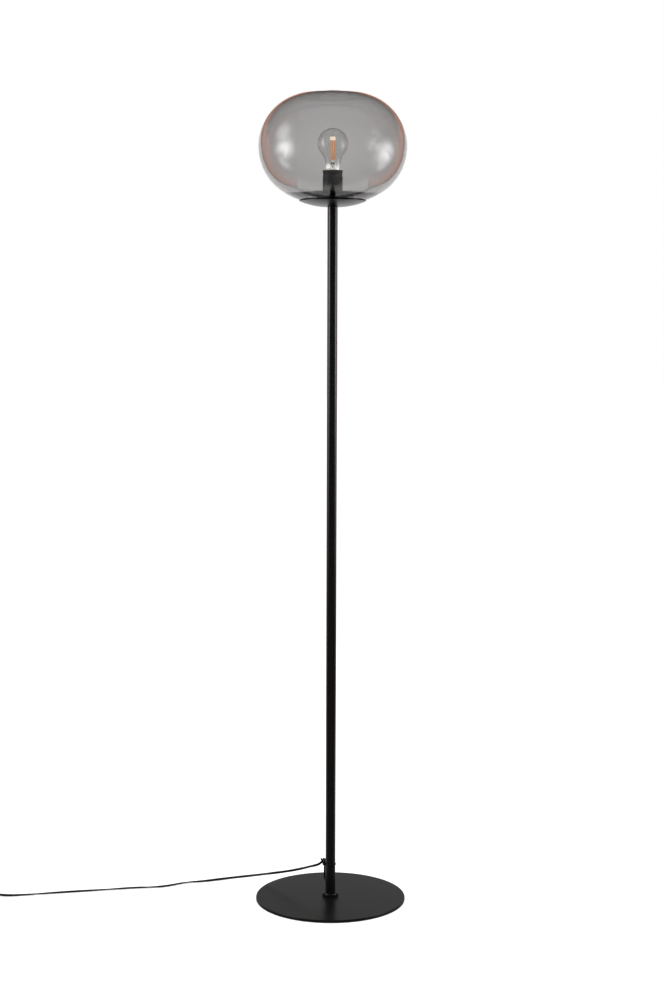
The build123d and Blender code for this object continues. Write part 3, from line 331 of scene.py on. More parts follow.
def smoked_glass(colours, sizes):
    """Blown glass, coloured grey-brown in the melt: the longer the way through it, the browner."""
    finish, tree, shader = new_finish("blown_smoked_glass", Transmission_Weight=1.0, IOR=1.5, Roughness=0.0)
    shader.inputs["Base Color"].default_value = (1, 1, 1, 1)
    # The density is per metre, so that a wall of 2.8 mm takes about a third of the light.
    melt = add_node(
        tree, "ShaderNodeVolumeAbsorption", inputs={"Color": linear(colours.smoke), "Density": 228.0}
    )
    tree.links.new(melt.outputs["Volume"], tree.nodes["Material Output"].inputs["Volume"])
    add_ripple(tree, shader, 40 * MM, 0.2 * MM)
    return finish


def clear_glass(colours, sizes):
    """Clear soda glass, blown thin: the bulb and its stem."""
    # Soda glass has an IOR of 1.5. It is lower here, because so thin a wall barely shows in the photo.
    finish, tree, shader = new_finish("clear_bulb_glass", Transmission_Weight=1.0, IOR=1.43, Roughness=0.0)
    shader.inputs["Base Color"].default_value = linear("#FAFBFA")
    add_ripple(tree, shader, 14 * MM, 0.1 * MM)
    return finish


def bulb_glass(colours, sizes):
    """The bulb's clear glass, with a patchy pale glow painted at the back of its neck: painted light for the neck's
    brightness.
    """
    finish = clear_glass(colours, sizes)
    finish.name = "bulb_glass_with_painted_glow"
    tree = finish.node_tree
    shader = tree.nodes["Principled BSDF"]
    # Painted light: a pale emission at the back of the neck, fading upwards and towards the front, in patches.
    shader.inputs["Emission Color"].default_value = linear("#F6F4F1")
    spot = add_node(tree, "ShaderNodeTexCoord").outputs["Object"]
    split = add_node(tree, "ShaderNodeSeparateXYZ", links={"Vector": spot})
    cap_top = foot_of("bulb_glass") + 6 * MM
    strongest = 0.55
    fading = {1: cap_top + 6 * MM, 2: cap_top + 17 * MM, 3: strongest, 4: 0.0}
    low = add_node(tree, "ShaderNodeMapRange", SMOOTH, fading, {0: split.outputs["Z"]})
    backward = {1: 0.0, 2: 7 * MM, 3: 0.0, 4: 1.0}
    behind = add_node(tree, "ShaderNodeMapRange", SMOOTH, backward, {0: split.outputs["Y"]})
    cloud = add_node(tree, "ShaderNodeTexNoise", inputs={"Scale": 1 / (5 * MM)}, links={"Vector": spot})
    patchy = add_node(
        tree, "ShaderNodeMapRange", SMOOTH, {1: 0.38, 2: 0.58, 3: 0.25, 4: 1.0}, {0: cloud.outputs["Fac"]}
    )
    times = {"operation": "MULTIPLY"}
    where = add_node(tree, "ShaderNodeMath", times, links={0: low.outputs[0], 1: behind.outputs[0]})
    glow = add_node(tree, "ShaderNodeMath", times, links={0: where.outputs[0], 1: patchy.outputs[0]})
    tree.links.new(glow.outputs[0], shader.inputs["Emission Strength"])
    return finish


# The finishes made so far, and the finish of each of the record's slots.
FINISHES = {}
SLOT_FINISH = {
    "black_coating": powder_coat,
    "black_felt": needled_felt,
    "zinc_plated_steel": zinc_plate,
    "black_phenolic": moulded_black,
    "steatite": steatite,
    "brass": stamped_brass,
    "smoked_glass": smoked_glass,
    "clear_glass": clear_glass,
    "nickel_plate": nickel_plate,
    "black_glass": cap_glass,
    "filament_coating": filament_coat,
    "black_cord": pvc_jacket,
    "core_insulation": core_jacket,
    "black_nylon": nylon_tie,
    "silicone": silicone_rubber,
}


def wear(piece, maker):
    """Gives a piece a finish, made once, as its only material."""
    if maker not in FINISHES:
        scene = bpy.context.scene
        FINISHES[maker] = maker(scene.lamp_colours, scene.lamp_sizes)
    piece.data.materials.clear()
    piece.data.materials.append(FINISHES[maker])


def dress(piece, slot):
    """Gives a piece the finish of its slot."""
    wear(piece, SLOT_FINISH[slot])


# ---- modelling
def let_go():
    """Nothing is selected and nothing is in edit mode."""
    if bpy.context.object and bpy.context.object.mode != "OBJECT":
        bpy.ops.object.mode_set(mode="OBJECT")
    for thing in bpy.context.view_layer.objects:
        thing.select_set(False)


def fix_place():
    """Puts the place of the piece in hand in its mesh."""
    bpy.ops.object.transform_apply(location=True, rotation=True, scale=True)


def settle(name, sharp=35.0):
    """Names the piece in hand, puts its place in its mesh and smooths its round faces."""
    piece = bpy.context.object
    fix_place()
    bpy.ops.object.shade_smooth_by_angle(angle=math.radians(sharp))
    piece.name = name
    piece.data.name = name
    return piece


def even_shine(piece):
    """Lets a piece's broad faces shine as they are, however round the edges next to them are."""
    let_go()
    bpy.context.view_layer.objects.active = piece
    broad = piece.modifiers.new("shine", "WEIGHTED_NORMAL")
    broad.keep_sharp = True
    bpy.ops.object.modifier_apply(modifier=broad.name)


def turn(name, outline, sides=96, closed=False, sharp=35.0):
    """Turns a round piece on the lamp's axis: a ring is drawn out along an outline of (radius, height)."""
    let_go()
    # A ring can't be scaled up from nothing, so one on the axis starts a thousandth of a millimetre wide.
    thin, merge_below = 0.001 * MM, 0.003 * MM
    stops = [(max(r, thin), z) for r, z in outline]
    if closed:
        stops.append(stops[0])
    r, z = stops[0]
    bpy.ops.mesh.primitive_circle_add(vertices=sides, radius=r, location=(0, 0, z))
    bpy.ops.object.mode_set(mode="EDIT")
    bpy.ops.mesh.select_all(action="SELECT")
    for next_r, next_z in stops[1:]:
        bpy.ops.mesh.extrude_region_move(TRANSFORM_OT_translate={"value": (0, 0, next_z - z)})
        grow = next_r / r
        bpy.ops.transform.resize(value=(grow, grow, 1), center_override=(0, 0, next_z))
        r, z = next_r, next_z
    bpy.ops.mesh.select_all(action="SELECT")
    bpy.ops.mesh.remove_doubles(threshold=merge_below)
    bpy.ops.mesh.normals_make_consistent(inside=False)
    bpy.ops.object.mode_set(mode="OBJECT")
    piece = settle(name, sharp)
    if closed:
        even_shine(piece)
    return piece


def arc(mid, radius, start, end, count):
    """Points of an arc in an outline, in degrees from the radius direction."""
    turns = [math.radians(start + (end - start) * k / count) for k in range(count + 1)]
    return [(mid[0] + radius * math.cos(t), mid[1] + radius * math.sin(t)) for t in turns]


def join_pieces(name, pieces):
    """Joins several meshes into one piece."""
    let_go()
    for piece in pieces:
        piece.select_set(True)
    bpy.context.view_layer.objects.active = pieces[0]
    bpy.ops.object.join()
    pieces[0].name = name
    pieces[0].data.name = name
    return pieces[0]


def place(piece, body, slot, *stands_for):
    """Puts a finished piece on its body, with its finish, in place of its nodes."""
    dress(piece, slot)
    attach(piece, body)
    if stands_for:
        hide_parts(*stands_for)


# ---- stage
# The photo's camera: lens in millimetres on a 36 mm frame, place in metres, and how far it looks down and leans.
CAMERA_FRAME, CAMERA_LENS = 36, 64.06
CAMERA_PLACE = (0.00066, -3.323, 1.1237)
CAMERA_DOWN, CAMERA_LEAN = math.radians(6.071), math.radians(0.188)

# Light goes in and out through four walls of glass.
GLASS_BOUNCES, GLOSS_BOUNCES = 24, 12

# Strengths: the soft light on matt surfaces, the background for the eye, and the studio's dark front.
SOFT_LIGHT, WHITE, DARK_FRONT = 0.8, 1.0, 0.04
FLOOR_COLOUR, FLOOR_GLOW = (0.80, 0.80, 0.80, 1), 0.45

# The mirrored studio: how wide and high its white sweep is, and where the sweep ends and the walls begin.
SWEEP_SHAPE = (0.76, 0, 1.65)
SWEEP_END, WALL_START = 0.42, 0.465

# What the softboxes face.
GLOBE_MIDDLE, POLE_MIDDLE, BASE_MIDDLE = (0, 0, 1.42), (0, 0, 0.80), (0, 0, 0.15)


def mirrored(tree):
    """One for a ray that a shiny surface has turned back, and nought for one that goes straight on."""
    rays = add_node(tree, "ShaderNodeLightPath")
    times = add_node(tree, "ShaderNodeMath", {"operation": "MINIMUM"}, {1: 1.0}, {0: rays.outputs["Glossy Depth"]})
    return times.outputs[0]


def straight_to_eye(tree):
    """One for a ray from the camera or through glass, and nought for one that lights a matt surface."""
    rays = add_node(tree, "ShaderNodeLightPath")
    either = add_node(
        tree,
        "ShaderNodeMath",
        {"operation": "MAXIMUM"},
        links={0: rays.outputs["Is Camera Ray"], 1: rays.outputs["Is Transmission Ray"]},
    )
    return either.outputs[0]


def studio_colour(tree, toward, colours, nearness=None):
    """A white sweep in the middle, then brown walls in a ring round it, then dim grey."""
    way = add_node(tree, "ShaderNodeVectorMath", {"operation": "NORMALIZE"}, links={0: toward})
    wide = add_node(
        tree, "ShaderNodeVectorMath", {"operation": "MULTIPLY"}, {1: SWEEP_SHAPE}, {0: way.outputs[0]}
    )
    off_middle = add_node(tree, "ShaderNodeVectorMath", {"operation": "LENGTH"}, links={0: wide.outputs[0]})
    share = off_middle.outputs["Value"]
    if nearness:
        nearer = add_node(tree, "ShaderNodeMath", {"operation": "MULTIPLY"}, links={0: share, 1: nearness})
        share = nearer.outputs[0]
    walls = add_node(tree, "ShaderNodeValToRGB", links={"Fac": share})
    stops = walls.color_ramp.elements
    stops[0].position, stops[0].color = SWEEP_END, (1, 1, 1, 1)
    stops[1].position, stops[1].color = WALL_START, linear(colours.wall_edge)
    for where, shade in ((0.50, colours.wall), (0.64, colours.wall), (0.78, colours.wall_far)):
        stops.new(where).color = linear(shade)
    return walls.outputs["Color"]


def by_ray(tree, matt, eye, mirror):
    """Gives matt surfaces, the eye and shiny surfaces each their own view of the studio."""
    plain = add_node(tree, "ShaderNodeMixShader", links={0: straight_to_eye(tree), 1: matt, 2: eye})
    shown = add_node(tree, "ShaderNodeMixShader", links={0: mirrored(tree), 1: plain.outputs[0], 2: mirror})
    return shown.outputs[0]


def studio_world(colours):
    """White for the eye, soft even light for matt surfaces, and a room that shiny surfaces mirror."""
    world = bpy.data.worlds.new("studio")
    world.use_nodes = True
    tree = world.node_tree
    tree.nodes.clear()
    toward = add_node(tree, "ShaderNodeTexCoord").outputs["Generated"]
    split = add_node(tree, "ShaderNodeSeparateXYZ", links={"Vector": toward})
    backward = {1: 0.0, 2: 0.35, 3: DARK_FRONT, 4: WHITE}
    bright = add_node(tree, "ShaderNodeMapRange", SMOOTH, backward, {0: split.outputs["Y"]})
    room = add_node(
        tree,
        "ShaderNodeBackground",
        links={"Color": studio_colour(tree, toward, colours), "Strength": bright.outputs[0]},
    )
    soft = add_node(tree, "ShaderNodeBackground", inputs={"Color": (1, 1, 1, 1), "Strength": SOFT_LIGHT})
    white = add_node(tree, "ShaderNodeBackground", inputs={"Color": (1, 1, 1, 1), "Strength": WHITE})
    shown = by_ray(tree, soft.outputs[0], white.outputs[0], room.outputs[0])
    add_node(tree, "ShaderNodeOutputWorld", links={"Surface": shown})
    return world


def studio_floor(colours):
    """A pale floor that is white to the eye and keeps the lamp's shadow. Shiny surfaces mirror the room's floor."""
    let_go()
    bpy.ops.mesh.primitive_plane_add(size=40, location=(0, 0, 0))
    floor = settle("studio_floor")
    finish = bpy.data.materials.new("pale_studio_floor")
    finish.use_nodes = True
    tree = finish.node_tree
    tree.nodes.clear()
    matt = add_node(tree, "ShaderNodeBsdfDiffuse", inputs={"Color": FLOOR_COLOUR})
    glow = add_node(tree, "ShaderNodeEmission", inputs={"Color": (1, 1, 1, 1), "Strength": FLOOR_GLOW})
    both = add_node(tree, "ShaderNodeAddShader", links={0: matt.outputs[0], 1: glow.outputs[0]})
    spot = add_node(tree, "ShaderNodeNewGeometry").outputs["Position"]
    split = add_node(tree, "ShaderNodeSeparateXYZ", links={"Vector": spot})
    away = add_node(tree, "ShaderNodeVectorMath", {"operation": "LENGTH"}, links={0: spot})
    outward = {1: 0.6, 2: 1.4, 3: 0.0, 4: 1.0}
    walls_begin = add_node(tree, "ShaderNodeMapRange", SMOOTH, outward, {0: away.outputs["Value"]})
    backward = {1: -0.25, 2: 0.5, 3: DARK_FRONT, 4: WHITE}
    bright = add_node(tree, "ShaderNodeMapRange", SMOOTH, backward, {0: split.outputs["Y"]})
    shade = studio_colour(tree, spot, colours, walls_begin.outputs[0])
    room = add_node(tree, "ShaderNodeEmission", links={"Color": shade, "Strength": bright.outputs[0]})
    shown = by_ray(tree, matt.outputs[0], both.outputs[0], room.outputs[0])
    add_node(tree, "ShaderNodeOutputMaterial", links={"Surface": shown})
    floor.data.materials.append(finish)


def soft_panel(name, at, aim, width, height, radiance, core=0.05):
    """A softbox that fades from its core to its edge. Only shiny surfaces show it, by mirroring it."""
    let_go()
    bpy.ops.mesh.primitive_plane_add(size=1, location=(0, 0, 0))
    bpy.ops.object.mode_set(mode="EDIT")
    bpy.ops.mesh.subdivide(number_cuts=3)
    bpy.ops.object.mode_set(mode="OBJECT")
    panel = bpy.context.object
    panel.name = name
    panel.scale = (width, height, 1)
    panel.location = at
    panel.rotation_euler = (Vector(aim) - Vector(at)).to_track_quat("-Z", "Y").to_euler()
    glow = bpy.data.materials.new(name + "_cloth")
    glow.use_nodes = True
    tree = glow.node_tree
    tree.nodes.clear()
    spot = add_node(tree, "ShaderNodeTexCoord").outputs["Object"]
    far = add_node(tree, "ShaderNodeVectorMath", {"operation": "LENGTH"}, links={0: spot})
    edge, falloff = 0.50, 1.6
    outward = {1: core, 2: edge, 3: 1.0, 4: 0.0}
    fade = add_node(tree, "ShaderNodeMapRange", SMOOTH, outward, {0: far.outputs["Value"]}).outputs[0]
    times = {"operation": "MULTIPLY"}
    glow_share = add_node(tree, "ShaderNodeMath", {"operation": "POWER"}, {1: falloff}, {0: fade})
    strength = add_node(tree, "ShaderNodeMath", times, {1: radiance}, {0: glow_share.outputs[0]})
    cloth = add_node(tree, "ShaderNodeEmission", links={"Strength": strength.outputs[0]})
    clear = add_node(tree, "ShaderNodeBsdfTransparent")
    cover = add_node(tree, "ShaderNodeMath", times, links={0: fade, 1: mirrored(tree)})
    shown = add_node(
        tree, "ShaderNodeMixShader", links={0: cover.outputs[0], 1: clear.outputs[0], 2: cloth.outputs[0]}
    )
    add_node(tree, "ShaderNodeOutputMaterial", links={"Surface": shown.outputs[0]})
    panel.data.materials.append(glow)
    panel.visible_camera = False
    panel.visible_diffuse = False
    panel.visible_shadow = False


def soft_light(name, at, aim, width, height, watts):
    """A large soft light for the matt surfaces and the shadow. Gloss and glass don't show it."""
    light = bpy.data.lights.new(name, "AREA")
    light.shape = "RECTANGLE"
    light.size = width
    light.size_y = height
    light.energy = watts
    box = bpy.data.objects.new(name, light)
    bpy.context.scene.collection.objects.link(box)
    box.location = at
    box.rotation_euler = (Vector(aim) - Vector(at)).to_track_quat("-Z", "Y").to_euler()
    box.visible_camera = False
    box.visible_glossy = False
    box.visible_transmission = False


class LAMP_OT_stage(bpy.types.Operator):
    """Sets the camera, the floor, the studio and the soft light"""

    bl_idname = "lamp.stage"
    bl_label = "Stage"

    def execute(self, context):
        scene = context.scene
        lens = bpy.data.cameras.new("camera")
        lens.sensor_fit = "AUTO"
        lens.sensor_width = CAMERA_FRAME
        lens.lens = CAMERA_LENS
        lens.clip_end = 100
        eye = bpy.data.objects.new("camera", lens)
        scene.collection.objects.link(eye)
        pitch = Matrix.Rotation(math.pi / 2 - CAMERA_DOWN, 4, "X")
        roll = Matrix.Rotation(CAMERA_LEAN, 4, "Z")
        eye.matrix_world = Matrix.Translation(CAMERA_PLACE) @ pitch @ roll
        scene.camera = eye
        scene.view_settings.view_transform = "Standard"
        scene.cycles.max_bounces = GLASS_BOUNCES
        scene.cycles.transmission_bounces = GLASS_BOUNCES
        scene.cycles.glossy_bounces = GLOSS_BOUNCES
        scene.cycles.transparent_max_bounces = GLASS_BOUNCES
        scene.world = studio_world(scene.lamp_colours)
        studio_floor(scene.lamp_colours)
        reach = scene.lamp_sizes.lamp_reach
        soft_panel("panel_left", (-reach, -0.27, 1.25), GLOBE_MIDDLE, width=1.6, height=1.3, radiance=7.2)
        soft_panel("panel_left_high", (-reach, -0.15, 1.84), GLOBE_MIDDLE, width=1.3, height=1.5, radiance=3.0)
        soft_panel("panel_right", (reach, -0.04, 1.20), GLOBE_MIDDLE, width=1.5, height=1.5, radiance=6.6)
        soft_panel("strip_left", (-reach, -0.05, 0.80), POLE_MIDDLE, width=0.9, height=1.3, radiance=3.0)
        soft_panel("strip_right", (reach, 0.06, 0.80), POLE_MIDDLE, width=0.9, height=1.3, radiance=4.0)
        soft_panel("card_back", (0, 0.9, 0.31), BASE_MIDDLE, width=1.9, height=0.64, radiance=0.235, core=0.15)
        soft_light("light_top", (0.0, -0.6, 3.4), (0, 0, 0.7), width=2.0, height=2.0, watts=60)
        return {"FINISHED"}


# ---- cords
def in_metres(*points):
    """Points that are written in millimetres."""
    return [tuple(round(value * MM, 5) for value in point) for point in points]


# The free cord's route from the pole to the hand switch.
LEAD_ROUTE = in_metres(
    (-5.53, 9.57, 31), (-9.23, 15.98, 31), (-10.85, 18.9, 34.4), (-10.9, 18.7, 39.4), (-10.9, 16, 46.4),
    (-10.8, 11.6, 55), (-10.7, 8.2, 62.2), (-10.7, 7.1, 69), (-10.9, 9.4, 73.2), (-11.6, 14.3, 74.3),
    (-13.4, 18.7, 71.4), (-16, 20.6, 65.8), (-21.2, 21.6, 61), (-29, 22.6, 57.7), (-40, 25.6, 54.4),
    (-58, 37, 46), (-82.9, 56, 35.1), (-110.9, 77, 24.7), (-139.1, 93, 16), (-166.2, 102.5, 9.8),
    (-195.1, 106.5, 5.2), (-223.7, 103.5, 2.6), (-251.5, 92.6, 2.45), (-285.8, 86, 2.45), (-320, 62, 2.45),
    (-348.5, 55.3, 2.45), (-383.5, 52.3, 2.45), (-440.5, 39, 2.45), (-501, 27.2, 2.45), (-562.7, 13.5, 2.45),
    (-603.5, 4.1, 2.45), (-629, 0.6, 3.4), (-648, 0, 6.6), (-662, 0, 8), (-676, 0, 8),
)
# How far the flat cord is turned about itself at some of those points, in degrees.
LEAD_TWIST = {12: 0, 14: 90, 16: 0, 18: 90, 20: 0, 22: 90, 24: 180, 26: 90, 28: 180, 30: 90, 32: 0}

# From the switch to the coil, and from the coil to the plug.
LINK_ROUTE = in_metres(
    (-728, 0, 8), (-739, 0, 8), (-751, -0.2, 6.4), (-767, -1.2, 4.15), (-781, -1.5, 3.15),
)
TAIL_ROUTE = in_metres(
    (-783, 66.5, 19.5), (-772.5, 66.2, 16.3), (-762, 66.8, 10.6), (-751.5, 67.2, 6.85), (-742, 67.2, 6.85),
)
COIL_CENTRE = (-0.794, 0.0325)
COIL_OUTER = 0.0340
COIL_PITCH = 0.00635
COIL_LAYER = 0.00545
COIL_LOW = 0.00315
COIL_LAYERS = 4
COIL_HALF_TURNS = 4
COIL_POINTS = 8


def coil_route():
    """The coil's control points: a flat spiral in, a climb, a flat spiral out, and so on."""
    # The smooth line passes inside its control points by this share of the radius.
    outside = 1 / (0.75 + 0.25 * math.cos(math.pi / COIL_POINTS))
    route = []
    radius = COIL_OUTER
    height = COIL_LOW
    half = 0
    for layer in range(COIL_LAYERS):
        inward = layer % 2 == 0
        last = layer == COIL_LAYERS - 1
        for step in range(COIL_HALF_TURNS + (0 if last else 1)):
            climbing = step == COIL_HALF_TURNS
            change = 0 if climbing else (-COIL_PITCH / 2 if inward else COIL_PITCH / 2)
            rise = COIL_LAYER if climbing else 0
            for k in range(COIL_POINTS):
                share = (k + 0.5) / COIL_POINTS
                turn_by = math.pi * (half + share)
                r = (radius + change * share) * outside
                z = height + rise * (1 - math.cos(math.pi * share)) / 2
                route.append(
                    (COIL_CENTRE[0] - r * math.sin(turn_by), COIL_CENTRE[1] - r * math.cos(turn_by), z)
                )
            radius += change
            height += rise
            half += 1
    return route


def flat_section(sizes):
    """The flat twin cord's cross-section: two round cores under one jacket, with a groove between."""
    half_w = sizes.cord_width / 2
    half_t = sizes.cord_thickness / 2
    reach = half_w - half_t
    section = bpy.data.curves.new("cord_section", "CURVE")
    section.dimensions = "2D"
    spline = section.splines.new("POLY")
    points = []
    steps, opening, groove = 9, 75, 0.80
    for side in (1, -1):
        for k in range(steps):
            t = math.radians(-opening + 2 * opening * k / (steps - 1)) + (0 if side > 0 else math.pi)
            points.append((side * reach + half_t * math.cos(t), half_t * math.sin(t)))
        points.append((0, side * half_t * groove))
    spline.points.add(len(points) - 1)
    for slot, (x, y) in zip(spline.points, points):
        slot.co = (x, y, 0, 1)
    spline.use_cyclic_u = True
    outline = bpy.data.objects.new("cord_section", section)
    bpy.context.scene.collection.objects.link(outline)
    outline.hide_render = True
    outline.hide_viewport = True
    return outline


def draw_cord(name, route, section, twist):
    """One smooth line of cord with its flat section, turned about itself by twist."""
    curve = bpy.data.curves.new(name, "CURVE")
    curve.dimensions = "3D"
    curve.twist_mode = "MINIMUM"
    spline = curve.splines.new("NURBS")
    spline.points.add(len(route) - 1)
    stops = sorted(twist.items())
    for index, (slot, (x, y, z)) in enumerate(zip(spline.points, route)):
        slot.co = (x, y, z, 1)
        before = [s for s in stops if s[0] <= index] or [(0, 0)]
        after = [s for s in stops if s[0] > index] or [before[-1]]
        span = after[0][0] - before[-1][0]
        share = (index - before[-1][0]) / span if span else 0
        slot.tilt = math.radians(before[-1][1] + (after[0][1] - before[-1][1]) * share)
    spline.order_u = 3
    spline.use_endpoint_u = True
    spline.resolution_u = 6
    curve.bevel_mode = "OBJECT"
    curve.bevel_object = section
    curve.use_fill_caps = True
    cord = bpy.data.objects.new(name, curve)
    bpy.context.scene.collection.objects.link(cord)
    return cord


class LAMP_OT_cords(bpy.types.Operator):
    """Draws the mains lead, and the stored length in its coil"""

    bl_idname = "lamp.cords"
    bl_label = "Cords"

    def execute(self, context):
        sizes = context.scene.lamp_sizes
        section = flat_section(sizes)
        lead = draw_cord("mains_lead", LEAD_ROUTE, section, LEAD_TWIST)
        dress(lead, "black_cord")
        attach(lead, "stand")
        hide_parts("cord_lead")
        stored = draw_cord("stored_lead", LINK_ROUTE + coil_route() + TAIL_ROUTE, section, {})
        dress(stored, "black_cord")
        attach(stored, "stand")
        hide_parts("cord_link", "cord_coil", "cord_tail")
        return {"FINISHED"}


# ---- base and pole
class LAMP_OT_base(bpy.types.Operator):
    """Turns the base plate and the flange that the pole stands on"""

    bl_idname = "lamp.base"
    bl_label = "Base"

    def execute(self, context):
        low, high, edge = span_of("base_plate")
        hole, sink, sink_h = 4.1 * MM, 8.0 * MM, 4.0 * MM
        under, over = 0.4 * MM, 1.2 * MM
        outline = [(hole, low + sink_h), (sink, low), (edge - under, low)]
        outline += arc((edge - under, low + under), under, -60, 0, 3)
        outline += arc((edge - over, high - over), over, 0, 90, 8)
        outline += [(edge * 0.6, high), (hole, high)]
        plate = turn("base_disc", outline, sides=256, closed=True)
        place(plate, "stand", "black_coating", "base_plate")

        low, high, edge = span_of("foot_flange")
        spigot_r, spigot_h, bore, lead_in = 8.25 * MM, 12.0 * MM, 4.05 * MM, 0.4 * MM
        step = high - spigot_h
        bevel, soft = 1.4 * MM, 0.5 * MM
        outline = [(bore, low), (edge, low), (edge, step - bevel - soft)]
        outline += arc((edge - soft, step - bevel - soft), soft, 0, 45, 3)[1:]
        outline += arc((edge - bevel - soft, step - soft), soft, 45, 90, 3)
        outline += [(spigot_r, step), (spigot_r, high - lead_in), (spigot_r - lead_in, high), (bore, high)]
        flange = turn("pole_flange", outline, sides=96, closed=True)
        place(flange, "stand", "black_coating", "foot_flange")
        return {"FINISHED"}


class LAMP_OT_pole(bpy.types.Operator):
    """Turns the four tubes of the pole, the lowest with a hole for the cord"""

    bl_idname = "lamp.pole"
    bl_label = "Pole"

    def execute(self, context):
        wall, edge = context.scene.lamp_sizes.pole_wall, 0.35 * MM
        for number in (1, 2, 3, 4):
            node = f"pole_tube_{number}"
            low, high, outer = span_of(node)
            inner = outer - wall
            outline = [(inner, low)]
            outline += arc((outer - edge, low + edge), edge, -90, 0, 4)
            outline += [(outer, low + (high - low) * k / 6) for k in range(1, 6)]
            outline += arc((outer - edge, high - edge), edge, 0, 90, 4)
            outline += [(inner, high)]
            tube = turn(f"pole_length_{number}", outline, sides=96, closed=True)
            if number == 1:
                drill_exit(tube)
            place(tube, "stand", "black_coating", node)
        return {"FINISHED"}


def drill_exit(tube):
    """Cuts the cord's hole through one wall of a tube."""
    reach, hole_r = 10 * MM, 3.6 * MM
    away = Vector(LEAD_ROUTE[1]) - Vector(LEAD_ROUTE[0])
    away.normalize()
    middle = Vector((away.x * reach, away.y * reach, LEAD_ROUTE[0][2]))
    let_go()
    bpy.ops.mesh.primitive_cylinder_add(vertices=48, radius=hole_r, depth=2 * reach - 4 * MM, location=middle)
    drill = bpy.context.object
    drill.rotation_euler = away.to_track_quat("Z", "Y").to_euler()
    fix_place()
    let_go()
    bpy.context.view_layer.objects.active = tube
    tube.select_set(True)
    cut = tube.modifiers.new("exit", "BOOLEAN")
    cut.operation = "DIFFERENCE"
    cut.object = drill
    bpy.ops.object.modifier_apply(modifier=cut.name)
    bpy.ops.object.shade_smooth_by_angle(angle=math.radians(35))
    bpy.data.objects.remove(drill, do_unlink=True)


# ---- shade carrier and lampholder
def through(start, middle, end, count):
    """Points of the arc through three points of an outline."""
    (ax, ay), (bx, by), (cx, cy) = start, middle, end
    d = 2 * (ax * (by - cy) + bx * (cy - ay) + cx * (ay - by))
    aa, bb, cc = ax * ax + ay * ay, bx * bx + by * by, cx * cx + cy * cy
    ux = (aa * (by - cy) + bb * (cy - ay) + cc * (ay - by)) / d
    uy = (aa * (cx - bx) + bb * (ax - cx) + cc * (bx - ax)) / d
    first = math.atan2(ay - uy, ax - ux)
    last = math.atan2(cy - uy, cx - ux)
    return arc((ux, uy), math.hypot(ax - ux, ay - uy), math.degrees(first), math.degrees(last), count)


class LAMP_OT_carrier(bpy.types.Operator):
    """Turns the dish, and the gallery that keeps the globe in its middle"""

    bl_idname = "lamp.carrier"
    bl_label = "Shade carrier"

    def execute(self, context):
        sheet, hole = context.scene.lamp_sizes.sheet, 5.05 * MM
        low, rim, edge = span_of("dish")
        flat, lip_h, lip_w = 13.0 * MM, 0.9 * MM, 1.6 * MM
        knee = rim - lip_h
        sag = (knee - low) * 0.29
        mid = (edge + flat) / 2
        outline = [(hole, low)]
        outline += through((flat, low), (mid, low + sag), (edge, knee), 28)
        outline += [(edge, rim - 0.25 * MM), (edge - 0.25 * MM, rim), (edge - lip_w, rim)]
        outline += through(
            (edge - lip_w, knee + sheet / 2),
            (mid - sheet / 4, low + sag + sheet),
            (flat - sheet / 4, low + sheet),
            20,
        )
        outline += [(hole, low + sheet)]
        dish = turn("carrier_dish", outline, sides=160, closed=True)
        place(dish, "stand", "black_coating", "dish")

        low, high, edge = span_of("gallery")
        soft = 1.0 * MM
        outline = [(edge - sheet, low), (edge, low)]
        outline += arc((edge - soft, high - soft), soft, 0, 90, 6)
        outline += [(hole, high), (hole, high - sheet), (edge - sheet, high - sheet)]
        gallery = turn("glass_gallery", outline, sides=160, closed=True)
        place(gallery, "stand", "black_coating", "gallery")

        low, high, edge = span_of("holder_disc")
        soft = 0.6 * MM
        outline = [(hole, low), (edge - 0.2 * MM, low), (edge, low + 0.2 * MM)]
        outline += arc((edge - soft, high - soft), soft, 0, 90, 5)
        outline += [(hole, high)]
        disc = turn("carrier_disc", outline, sides=128, closed=True)
        place(disc, "stand", "black_coating", "holder_disc")
        return {"FINISHED"}


class LAMP_OT_holder(bpy.types.Operator):
    """Turns the lampholder's cap, and its shell with the waist below the rim"""

    bl_idname = "lamp.holder"
    bl_label = "Lampholder"

    def execute(self, context):
        wall, floor, hole = 2.0 * MM, 2.4 * MM, 5.05 * MM
        low, seam, edge = span_of("holder_cap")
        soft = 0.35 * MM
        outline = [(hole, low), (edge, low)]
        outline += arc((edge - soft, seam - soft), soft, 0, 90, 4)
        outline += [(edge - wall, seam), (edge - wall, low + floor), (hole, low + floor)]
        cap = turn("holder_lower", outline, sides=96, closed=True)
        place(cap, "stand", "black_phenolic", "holder_cap")
        # The lampholder's grey holds painted light: the veil that the globe's glass reflects in front of it.
        wear(cap, holder_moulding_with_painted_veil)

        low, high = foot_of("holder_shell"), top_of("holder_shell")
        spigot = edge - wall - 0.05 * MM
        bore, mouth, lip = 14.85 * MM, 14.45 * MM, 2.0 * MM
        waist_high, waist_h, waist_depth = high - 5.7 * MM, 5.4 * MM, 0.7 * MM
        waist = edge - waist_depth
        outline = [(bore, low), (spigot, low), (spigot, seam), (edge - soft, seam)]
        outline += arc((edge - soft, seam + soft), soft, -60, 0, 3)
        outline += [(edge, waist_high - waist_h - soft), (waist, waist_high - waist_h + soft)]
        outline += [(waist, waist_high - soft), (edge, waist_high + soft)]
        outline += arc((edge - soft, high - soft), soft, 0, 90, 4)
        outline += [(mouth + soft, high), (mouth, high - soft), (mouth, high - lip), (bore, high - lip)]
        shell = turn("holder_upper", outline, sides=96, closed=True, sharp=30.0)
        place(shell, "stand", "black_phenolic", "holder_shell")
        wear(shell, holder_moulding_with_painted_veil)
        return {"FINISHED"}


